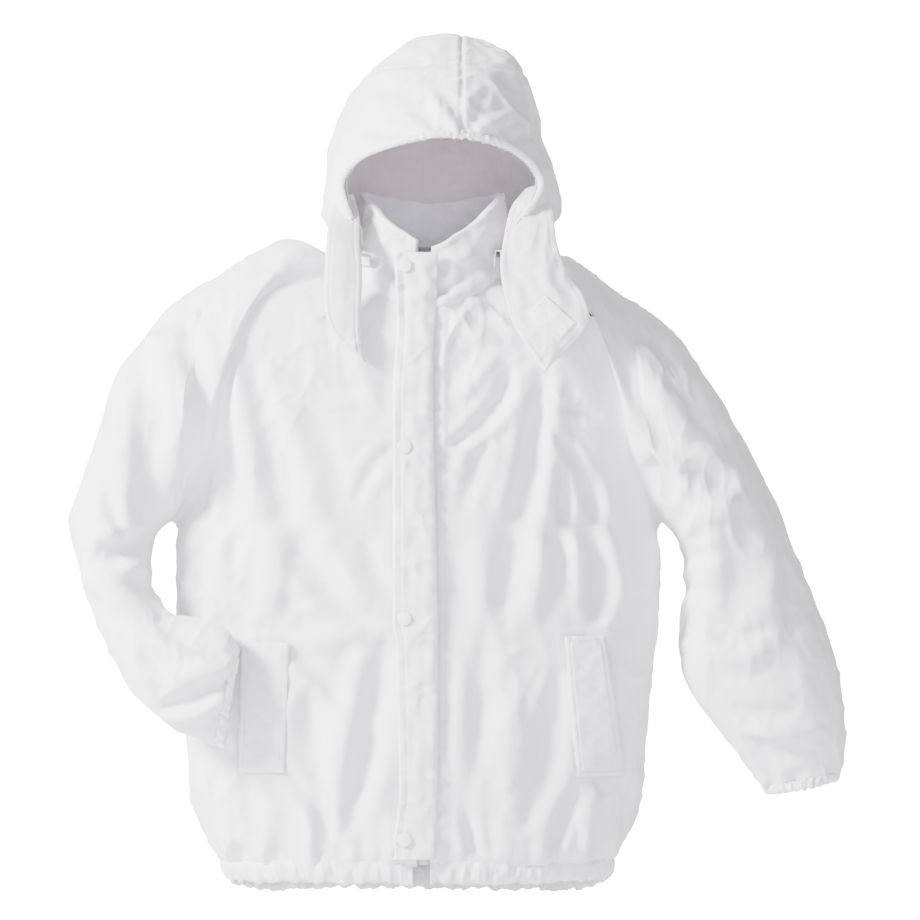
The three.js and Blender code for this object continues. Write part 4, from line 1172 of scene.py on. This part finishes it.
def stitches(name, lines, face, mat, body, long=2.6, gap=1.5, wide=0.55):
    """Rows of thread stitches that lie along lines of points."""
    verts, faces = [], []
    for line in lines:
        line = np.asarray(line, float)
        steps = np.concatenate([[0], np.cumsum(np.linalg.norm(np.diff(line, axis=0), axis=1))])
        starts = np.arange(0.5, steps[-1] - long, long + gap)
        for s in starts:
            a, m, b = (
                np.array([np.interp(t, steps, line[:, k]) for k in range(3)])
                for t in (s, s + long / 2, s + long)
            )
            d = (b - a) / max(np.linalg.norm(b - a), 1e-9)
            f = np.asarray(face, float) if not callable(face) else face(m)
            side = np.cross(d, f)
            side /= max(np.linalg.norm(side), 1e-9)
            k = len(verts)
            verts += [a - f * 0.3, m + side * wide, m + f * wide, m - side * wide, b - f * 0.3, m - f * wide]
            faces += [(k, k + 1, k + 2), (k, k + 2, k + 3), (k + 4, k + 2, k + 1), (k + 4, k + 3, k + 2),
                      (k, k + 5, k + 1), (k, k + 3, k + 5), (k + 4, k + 1, k + 5), (k + 4, k + 5, k + 3)]
    obj = new_object(name, np.array(verts), faces, mat)
    if body:
        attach(obj, body)
    return obj


def make_snaps(mats):
    for index, z in enumerate(SNAP_HEIGHTS):
        face = PLACKET_STANDOFF + PLACKET_THICKNESS
        profile = [
            (0.01, 3.0), (3.0, 2.9), (5.2, 2.4), (6.6, 2.1), (7.2, 2.35), (7.9, 1.7), (8.1, 0.8), (7.8, 0.1),
            (2.0, 0.0), (2.0, -face + 4.2), (5.0, -face + 4.2), (5.0, -face + 3.0), (0.01, -face + 3.0),
        ]
        count = 48
        theta = np.linspace(0, 2 * math.pi, count, endpoint=False)
        cap_y = -118 + 0.02 * z - face
        grid = np.array([
            [(SNAP_X + r * math.cos(t), cap_y - h, z + r * math.sin(t)) for t in theta] for r, h in profile
        ])
        faces = [tuple(f) for f in grid_faces(len(profile), count, True).tolist()]
        faces += [tuple(range(count)), tuple((len(profile) - 1) * count + c for c in reversed(range(count)))]
        obj = new_object(f"snap_cap_{index + 1}_enamel", grid.reshape(-1, 3), faces, mats["snap"])
        fix_outward(obj)
        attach(obj, "placket")
        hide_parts(f"snap_cap_{index + 1}")


# ---------- Collar ----------
def zip_plane(y):
    return 741 + 0.195 * (y - NECK[1])


def collar_heights(degrees):
    from_front = np.minimum(degrees, 360 - degrees)
    dip = 36 * np.exp(-((from_front / 32) ** 2))
    base = zip_plane(NECK[1] - NECK_RADIUS * np.cos(np.radians(degrees))) - dip - 6
    top = np.interp(from_front, (0, 30, 60, 90, 135, 180), (737, 760, 788, 804, 801, 794))
    return base, top


def make_collar(mats, neck):
    cols = 420
    start = math.degrees(math.asin((ZIP_X + 9 - NECK[0]) / NECK_RADIUS))
    finish = 360 + math.degrees(math.asin((ZIP_X - 9 - NECK[0]) / NECK_RADIUS))
    degrees = np.linspace(start, finish, cols)
    low, top = collar_heights(degrees % 360)
    rise = np.array([0.03, 0.1, 0.18, 0.27, 0.36, 0.45, 0.54, 0.63, 0.72, 0.80, 0.87, 0.93, 0.97, 0.99])
    outer = [(r, 0.0) for r in rise]
    roll = [(1.0, 1.6), (1.0, 4.4), (1.0, 7.0), (0.985, 8.6)]
    inner = [(r, 9.4) for r in rise[::-1][1:]]
    profile = outer + roll + inner
    v = np.array([p[0] for p in profile])[:, None]
    inward = np.array([p[1] for p in profile])[:, None]
    z = lerp(low, top, v) + 0 * inward
    radius = NECK_RADIUS - 5 * v - inward + 0 * low
    turn = np.radians(degrees)[None, :] + 0 * v
    place = np.stack([turn * NECK_RADIUS, z * 1.0, inward * 1.5 + 0 * turn], -1)
    front = np.cos(turn) ** 2 * (np.cos(turn) > 0)
    wrinkle = (1.6 + 2.6 * front) * wander(place * (1.0, 1.6, 1), 44, 61)
    wrinkle = wrinkle + 1.3 * wander(place * (1, 1.4, 1), 20, 62)
    wrinkle += 3.2 * crease(place * (1, 0.8, 1), 34, 304)
    wrinkle *= np.sin(math.pi * np.clip(v, 0.0, 1)) ** 0.5 * 0.8 + 0.2
    puff = 2.2 * np.sin(math.pi * np.clip(v * 1.0, 0, 1)) * np.where(inward < 5, 1, -0.5)
    channel = -1.3 * np.exp(-(((v - 0.88) / 0.025) ** 2)) * np.where(inward < 5, 1, -0.6)
    radius = radius + puff + channel + np.where(inward < 5, 1, 0.7) * np.clip(wrinkle, -5, 6) * 0.9
    z = z + 0.8 * wander(place[..., :1], 36, 63, 5) * v
    grid = np.stack([NECK[0] + radius * np.sin(turn), NECK[1] - radius * np.cos(turn), z], -1)
    around = np.degrees(np.arctan2(neck[:, 0] - NECK[0], NECK[1] - neck[:, 1])) % 360
    order = np.argsort(around)
    reach = np.hypot(neck[:, 0] - NECK[0], neck[:, 1] - NECK[1])[order]
    reach = np.interp(degrees, around[order], reach, period=360) + 1.0
    foot_z = np.interp(degrees, around[order], neck[order, 2], period=360) - 5.0
    foot = np.stack([NECK[0] + reach * np.sin(turn[0]), NECK[1] - reach * np.cos(turn[0]), foot_z], -1)
    skirt = []
    for share in (0.0, 0.14, 0.28, 0.42, 0.56, 0.7, 0.85):
        row = lerp(foot, grid[0], share)
        bulge = 5.0 * math.sin(math.pi * share)
        rumple = 2.2 * math.sin(math.pi * share) * wander(row, 30, 64)
        out = np.stack([np.sin(turn[0]), -np.cos(turn[0]), 0 * turn[0]], -1)
        skirt.append(row + out * (bulge + rumple)[:, None])
    grid = np.concatenate([np.array(skirt), grid])
    rows = len(grid)
    faces = [tuple(f) for f in grid_faces(rows, cols).tolist()]
    for c in range(cols - 1):
        faces.append((c, (rows - 1) * cols + c, (rows - 1) * cols + c + 1, c + 1))
    faces.append(tuple(r * cols for r in range(rows)))
    faces.append(tuple(r * cols + cols - 1 for r in reversed(range(rows))))
    obj = new_object("collar_cloth", grid.reshape(-1, 3), faces, mats["shell"])
    fix_outward(obj)
    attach(obj, "torso")
    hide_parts("collar_shell", "collar_facing")
    line = grid[17] + np.stack([np.sin(turn[0]), -np.cos(turn[0]), 0 * turn[0]], -1) * 0.3
    base = grid[8] + np.stack([np.sin(turn[0]), -np.cos(turn[0]), 0 * turn[0]], -1) * 0.3

    def away(m):
        out = np.array([m[0] - NECK[0], m[1] - NECK[1], 0.0])
        return out / np.linalg.norm(out)

    stitches("collar_topstitch", [line, base], away, mats["thread"], "torso")


# ---------- Hood ----------
def hood_grid(rows=150, cols=300):
    v = np.linspace(0, 1, rows)
    z, middle, half, front, back = np.moveaxis(track(HOOD, v), -1, 0)[:, :, None]
    turn = np.radians(np.linspace(0, 360, cols, endpoint=False))[None, :]
    y = (front + back) / 2 - np.cos(turn) * (back - front) / 2
    tilt = np.maximum(0, 1 - v[:, None] * 4) * 0.195 * (y - NECK[1])
    return np.stack([middle + np.sin(turn) * half, y, z + tilt], -1)


def inside_outline(x, z, outline):
    hit = np.zeros(x.shape, bool)
    for (ax, az), (bx, bz) in zip(outline, outline[1:] + outline[:1]):
        crosses = (az > z) != (bz > z)
        with np.errstate(divide="ignore", invalid="ignore"):
            at = ax + (z - az) * (bx - ax) / (bz - az)
        hit ^= crosses & (x < at)
    return hit


def make_hood(mats):
    grid = hood_grid()
    rows, cols, _ = grid.shape
    points = grid.reshape(-1, 3)
    faces = grid_faces(rows, cols, True)
    normals = vertex_normals(points, faces)
    centre = points.mean(axis=0)
    if ((points - centre) * normals).sum() < 0:
        faces, normals = faces[:, ::-1], -normals
    x, y, z = points.T
    # the outline is followed closely, by drawing the nearest points onto it
    closed = FACE_OUTLINE[1:-1]
    line = track(closed, np.linspace(0, 1, 160))
    line = np.vstack([[(-74, 640)], line, [(104, 640)]])
    outline = [tuple(p) for p in line]
    inside = inside_outline(x, z, outline) & (y < -20)
    seam_x = 20 + 28 * smooth(760, 850, z)
    crown_z = 944 + 6 * np.cos((x - 30) / 60)
    lift = 2.0 * wander(points, 80, 41) + 1.0 * wander(points, 36, 42) + 0.35 * wander(points, 16, 43)
    lift += 3.6 * crease(points * (0.5, 1, 1), 70, 306) + 1.8 * crease(points, 34, 307) - 1.0
    facing_front = smooth(-0.1, 0.4, -normals[:, 1])
    lift += fold_height(x, z, HOOD_FOLDS) * facing_front
    centre_seam = np.where(y < 34, np.abs(x - seam_x), 99)
    lift += -1.7 * np.exp(-((centre_seam / 2.0) ** 2)) + 0.9 * np.exp(-(((centre_seam - 6) / 4) ** 2))
    cross_seam = np.where(y < 30, np.abs(z - crown_z), 99)
    lift += -1.2 * np.exp(-((cross_seam / 2.0) ** 2)) + 0.6 * np.exp(-(((cross_seam - 6) / 4) ** 2))
    back_seam = np.where(z > 770, np.abs(y - 34), 99)
    lift += -1.5 * np.exp(-((back_seam / 2.2) ** 2)) + 0.7 * np.exp(-(((back_seam - 6) / 4) ** 2))
    brim = track(BRIM, np.linspace(0, 1, 90))
    to_brim = np.min(np.linalg.norm(points[:, None] - brim[None, ::3], axis=-1), axis=1)
    around = np.arctan2(x - 22, 930 - z)
    gather = wander(np.stack([around * 110, y * 0.25], -1), 13, 44, 9)
    middle_share = np.exp(-(((x - 52) / 46) ** 2))
    lift += 2.4 * gather * np.exp(-to_brim / 16) * middle_share
    broad = wander(np.stack([around * 110, y * 0.3], -1), 26, 45, 8)
    lift += (0.5 + 2.6 * middle_share) * broad * np.exp(-to_brim / 46)
    base_gather = np.exp(-np.maximum(z - 752 - 0.195 * (y + 15), 0) / 16)
    lift += base_gather * 1.4 * wander(np.stack([x, y], -1), 17, 46, 8)
    lift *= smooth(0, 0.02, np.repeat(np.linspace(1, 0, rows), cols) + 0.004)
    shaped = points + normals * lift[:, None]
    # edge points of the opening move onto the outline
    keep = ~inside[faces].all(axis=1) & ~(inside[faces].sum(axis=1) >= 3)
    kept = faces[keep]
    ring = np.unique(kept[inside[kept]]) if inside[kept].any() else np.array([], int)
    curve = np.array(outline)
    shares = np.linspace(0, 1, 8)[:, None]
    fine = np.concatenate([lerp(curve[k], curve[k + 1], shares) for k in range(len(curve) - 1)])
    for i in ring:
        d = np.hypot(fine[:, 0] - shaped[i, 0], fine[:, 1] - shaped[i, 2])
        k = int(np.argmin(d))
        if d[k] < 6:
            shaped[i, 0], shaped[i, 2] = fine[k]
    normals = vertex_normals(shaped, kept)
    centre_face = shaped[kept].mean(axis=1)
    side_split = np.interp(centre_face[:, 2], (760, 850), (20, 48))
    behind = centre_face[:, 1] > HOOD_SPLIT_Y
    left = centre_face[:, 0] < side_split
    for name, pick, node_name in (
        ("hood_left_cloth", left & ~behind, "hood_panel_left"),
        ("hood_right_cloth", ~left & ~behind, "hood_panel_right"),
        ("hood_back_cloth", behind, "hood_back_panel"),
    ):
        verts, all_faces, loop = thick_mesh(shaped, normals, kept[pick], CLOTH_THICKNESS)
        obj = new_object(name, verts, all_faces, mats["shell"], loop)
        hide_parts(node_name)
        hood_blend(obj)
        declare_sheet(shaped[kept[pick]])
    lining = points - vertex_normals(points, faces) * 6.5
    lift_in = 2.2 * wander(points, 60, 47) + 1.0 * wander(points, 26, 48)
    lining = lining + vertex_normals(points, faces) * np.clip(lift_in, -3, 3)[:, None]
    row_of = np.repeat(np.arange(rows), cols)
    ok = (row_of[faces].max(axis=1) < rows - 8) & keep
    verts, all_faces, loop = thick_mesh(lining, vertex_normals(lining, faces), faces[ok], LINING_THICKNESS)
    obj = new_object("hood_lining_cloth", verts, all_faces, mats["lining"], loop)
    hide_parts("hood_lining")
    hood_blend(obj)
    declare_sheet(lining[faces[ok]])
    make_brim(mats, outline)
    hood_stitches(mats, shaped[shaped[:, 1] < HOOD_SPLIT_Y])


def hood_blend(obj):
    """Bakes the object's transform into its mesh."""
    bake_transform(obj)


def make_brim(mats, outline):
    top = np.array([p for p in outline if p[1] > 770])
    rows = track(HOOD, np.linspace(0, 1, 400))
    path = []
    for x, z in top:
        k = int(np.argmin(np.abs(rows[:, 0] - z)))
        _, middle, half, front, back = rows[k]
        s = np.clip((x - middle) / half, -0.99, 0.99)
        y = (front + back) / 2 - math.sqrt(1 - s * s) * (back - front) / 2
        path.append((x, y - 1.0, z))
    path = np.array(path)
    steps = np.concatenate([[0], np.cumsum(np.linalg.norm(np.diff(path, axis=0), axis=1))])
    even = np.linspace(0, steps[-1], 260)
    path = np.stack([np.interp(even, steps, path[:, k]) for k in range(3)], -1)
    tangent = np.gradient(path, axis=0)
    up = np.cross(tangent, (0, -1.0, 0.0))
    up /= np.linalg.norm(up, axis=1, keepdims=True)
    away = np.cross(tangent, up)
    away /= np.linalg.norm(away, axis=1, keepdims=True)
    tight = (0.25 + 1.3 * np.exp(-(((path[:, 0] - 52) / 44) ** 2)))[:, None]
    obj = band_tube("hood_brim_cloth", path, away, up, 2.4, 4.0, mats["trim"], tight, 8.0, 66, False)
    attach(obj, "hood")
    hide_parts("hood_brim_casing", "hood_brim_elastic")


def hood_stitches(mats, front):
    """Topstitching on both sides of the hood's centre seam, and above its cross seam."""
    lines = []
    for shift in (-5.0, 5.0):
        z = np.linspace(868, 984, 400)
        lines.append((20 + 28 * smooth(760, 850, z) + shift, z))
    for shift in (5.0,):
        x = np.linspace(-56, 124, 600)
        lines.append((x, 944 + 6 * np.cos((x - 30) / 60) + shift))
    placed = []
    for x, z in lines:
        spots = [int(np.argmin((front[:, 0] - a) ** 2 + (front[:, 2] - b) ** 2)) for a, b in zip(x, z)]
        depth = np.convolve(np.pad(front[spots, 1], 4, mode="edge"), np.ones(9) / 9, mode="valid")
        placed.append(np.stack([x, depth - 0.5, z], -1))
    stitches("hood_topstitch", placed, (0, -0.9, 0.43), mats["thread"], "hood")


# ---------- Chin flaps ----------
def flap_grid(rows_in, y, bow, seed, curl, cols=34, rows=110):
    t = np.linspace(0, 1, rows)
    inner_x, inner_z, outer_x, outer_z = np.moveaxis(track(rows_in, t), -1, 0)[:, :, None]
    u = np.linspace(0, 1, cols)[None, :]
    x, z = lerp(inner_x, outer_x, u), lerp(inner_z, outer_z, u)
    p = np.stack([x, 0 * x, z], -1)
    wave = bow * np.sin(math.pi * u) + 2.2 * wander(p, 60, seed) + 0.9 * wander(p, 24, seed + 1)
    wave += 1.8 * crease(p, 40, seed + 2) - 62 * smooth(0.36, 0.0, t)[:, None]
    rim = np.minimum(np.minimum(u, 1 - u) * abs(outer_x - inner_x), np.minimum(t, 1 - t)[:, None] * 190)
    stitch = -0.9 * np.exp(-(((rim - 6) / 1.0) ** 2)) - 0.8 * np.exp(-((rim / 1.5) ** 2))
    deep = y - wave - stitch + curl * (u**2)
    return np.stack([x, deep + 0 * z, z], -1)


def make_flaps(mats):
    left = flap_grid(
        [(-78, 800, -96, 796), (-71, 775, -103, 776), (-70, 742, -107, 748), (-67, 712, -109, 712),
         (-68, 670, -110, 676), (-68, 640, -104, 648), (-66, 618, -86, 626), (-63, 604, -68, 608)],
        -121, 2.5, 91, 3.0)
    right = flap_grid(
        [(122, 806, 138, 812), (105, 782, 152, 784), (96, 742, 157, 742), (93, 712, 170, 706),
         (99, 676, 188, 680), (108, 648, 194, 652), (126, 618, 182, 634), (143, 594, 150, 600)],
        -124, 3.5, 95, 2.0)
    for name, grid, body, node_name, mat in (
        # The left flap hangs turned; its inner face carries painted shade in its darker colour
        ("chin_flap_left_cloth", left, "flap_left", "chin_flap_left", mats["inside"]),
        ("chin_flap_right_cloth", right, "flap_right", "chin_flap_right", mats["shell"]),
    ):
        points, faces = rounded_slab(grid, (0, -1, 0), 3.0)
        obj = new_object(name, points, faces, mat)
        fix_outward(obj)
        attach(obj, body)
        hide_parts(node_name)
        declare_grid(grid)
        lines = []
        for us in (np.full(90, 0.08), np.full(90, 0.92)):
            vs = np.linspace(0.04, 0.97, 90)
            lines.append(np.stack([grid_value(grid[..., k], vs, us) for k in range(3)], -1) + (0, -0.25, 0))
        stitches(name.replace("cloth", "topstitch"), lines, (0, -1, 0), mats["thread"], body)
    make_patch(mats, right)
    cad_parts["loop_patch"].data.materials.clear()
    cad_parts["loop_patch"].data.materials.append(mats["hook"])


def make_patch(mats, right):
    """Hook patch on the open flap: a thin plate that follows the cloth, with a stitched border."""
    angle = math.radians(42)
    across = np.array([math.cos(angle), -math.sin(angle)])
    along = np.array([math.sin(angle), math.cos(angle)])
    s, t = np.meshgrid(np.linspace(-23, 23, 34), np.linspace(-14, 14, 22))
    x = 152 + s * across[0] + t * along[0]
    z = 655 + s * across[1] + t * along[1]
    flat = right.reshape(-1, 3)
    y = np.array([
        flat[np.argmin((flat[:, 0] - a) ** 2 + (flat[:, 2] - b) ** 2), 1]
        for a, b in zip(x.ravel(), z.ravel())
    ])
    y = y.reshape(x.shape)
    for _ in range(6):
        y[1:-1, 1:-1] = (y[:-2, 1:-1] + y[2:, 1:-1] + y[1:-1, :-2] + y[1:-1, 2:]) / 4
    grid = np.stack([x, y - 1.6, z], -1)
    points, faces = rounded_slab(grid, (0, -1, 0), 1.5)
    obj = new_object("hook_patch_nap", points, faces, mats["hook"])
    fix_outward(obj)
    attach(obj, "flap_right")
    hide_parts("hook_patch")
    rim = [grid[1, 1:-1], grid[-2, 1:-1], grid[1:-1, 1], grid[1:-1, -2]]
    stitches("hook_patch_stitch", [r + (0, -0.2, 0) for r in rim], (0, -1, 0), mats["thread"], "flap_right")


# ---------- Pockets ----------
def front_depth(x, z):
    side = np.clip(np.abs(x - BODY_X) / graph(BODY_HALF, z), 0, 1)
    return (-118 + 0.02 * z) * (1 - side**SECTION_POWER) ** (1 / SECTION_POWER)


def make_pockets(mats):
    for side, pocket in POCKETS.items():
        rows, cols = 110, 40
        v = np.linspace(0, 1, rows)[:, None]
        u = np.linspace(0, 1, cols)[None, :]
        x = lerp(lerp(*pocket["inner"], v), lerp(*pocket["outer"], v), u)
        z = lerp(pocket["bottom"], pocket["top"], v) + 0 * u
        rim = np.minimum(np.minimum(u, 1 - u) * 53, np.minimum(v, 1 - v) * 152)
        p = np.stack([x, 0 * x, z], -1)
        puff = 1.3 * smooth(0, 7, rim) + 0.9 * wander(p, 40, 101) + 0.4 * wander(p, 16, 102)
        stitch = -1.0 * np.exp(-(((rim - 5.5) / 1.0) ** 2)) - 0.8 * np.exp(-((rim / 1.5) ** 2))
        pucker = 0.5 * np.exp(-rim / 6) * wander(p, 11, 103, 8)
        lift = np.sin(math.pi * v) ** 0.5 * pocket["lift"] * u**2
        y = front_depth(x, z) - 6.4 - lift - puff - stitch - pucker
        grid = np.stack([x, y, z], -1)
        points, faces = rounded_slab(grid, (0, -1, 0), 2.8)
        obj = new_object(f"pocket_welt_{side}_cloth", points, faces, mats["shell"])
        fix_outward(obj)
        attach(obj, "torso")
        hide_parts(f"pocket_welt_{side}")
        declare_grid(grid)
        lines = []
        for du in (0.1, 0.9):
            vs = np.linspace(0.03, 0.97, 120)
            row_points = [grid_value(grid[..., k], vs, np.full(120, du)) for k in range(3)]
            lines.append(np.stack(row_points, -1) + (0, -0.3, 0))
        for dv in (0.035, 0.965):
            us = np.linspace(0.1, 0.9, 60)
            col_points = [grid_value(grid[..., k], np.full(60, dv), us) for k in range(3)]
            lines.append(np.stack(col_points, -1) + (0, -0.3, 0))
        stitches(f"pocket_welt_{side}_topstitch", lines, (0, -1, 0), mats["thread"], "torso")
        make_bag(mats, side)


def make_bag(mats, side):
    """Soft pouch in the space of the CAD bag."""
    low, high = (np.array(c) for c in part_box(f"pocket_bag_{side}"))
    centre, half = (low + high) / 2, (high - low) / 2
    rows, cols = 30, 44
    a = np.linspace(0.02, math.pi - 0.02, rows)[:, None]
    b = np.linspace(0, 2 * math.pi, cols, endpoint=False)[None, :]

    def box_round(value, power):
        return np.sign(value) * np.abs(value) ** power

    x = box_round(np.sin(a), 0.4) * box_round(np.cos(b), 0.5)
    y = box_round(np.sin(a), 0.4) * box_round(np.sin(b), 0.8) * 0.42
    z = box_round(np.cos(a), 0.5) + 0 * b
    grid = np.stack([x, y, z], -1) * half * 0.96 + centre
    faces = [tuple(f) for f in grid_faces(rows, cols, True).tolist()]
    faces += [tuple(range(cols)), tuple((rows - 1) * cols + c for c in reversed(range(cols)))]
    obj = new_object(f"pocket_bag_{side}_cloth", grid.reshape(-1, 3), faces, mats["lining"], scaled=False)
    fix_outward(obj)
    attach(obj, "torso")
    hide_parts(f"pocket_bag_{side}")


# ---------- Lining and small parts ----------
def make_linings(mats, parts):
    for name, key, node_name in (
        ("front_left_lining", "front_left", "front_lining_left"),
        ("front_right_lining", "front_right", "front_lining_right"),
        ("back_lining_cloth", "back", "back_lining"),
    ):
        grid = parts[key][6:-22:2, 4:-4:2]
        points = grid.reshape(-1, 3)
        faces = grid_faces(*grid.shape[:2])
        normals = vertex_normals(points, faces)
        if ((points - inside_point(key, points)) * normals).sum() < 0:
            faces, normals = faces[:, ::-1], -normals
        points = sag(points) - normals * (12.5 + np.clip(1.6 * wander(points, 60, 111), -2, 2))[:, None]
        kept = faces
        if key != "back":
            kept = faces[~slit_mask(points[faces].mean(axis=1))]
        verts, all_faces, loop = thick_mesh(points, vertex_normals(points, faces), kept, LINING_THICKNESS)
        obj = new_object(name, verts, all_faces, mats["lining"], loop)
        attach(obj, "torso")
        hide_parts(node_name)
        declare_grid(grid)


def dress_cad_nodes(mats):
    """Better materials for the CAD pieces that stay."""
    wear = {
        "metal": ["zip_teeth_left", "zip_teeth_right", "zip_top_stop_left", "zip_top_stop_right",
                  "zip_retainer_box",
                  "zip_slider", "zip_pull", "hood_zip_slider", "hood_zip_teeth",
                  "snap_stud_1", "snap_stud_2", "snap_stud_3", "snap_stud_4"],
        "tape": ["zip_tape_left", "zip_tape_right", "hood_zip_tape", "hood_zip_pull", "hanger_loop"],
        "hook": ["loop_patch"],
    }
    for kind, names in wear.items():
        for name in names:
            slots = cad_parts[name].data.materials
            slots.clear()
            slots.append(mats[kind])


make_camera()
mats = make_materials()
make_studio()
suit, suit_points, neckline = make_suit(mats)
make_hem(mats)
make_cuffs(mats)
make_placket(mats)
make_snaps(mats)
make_collar(mats, neckline)
make_hood(mats)
make_flaps(mats)
make_pockets(mats)
make_linings(mats, suit)
dress_cad_nodes(mats)
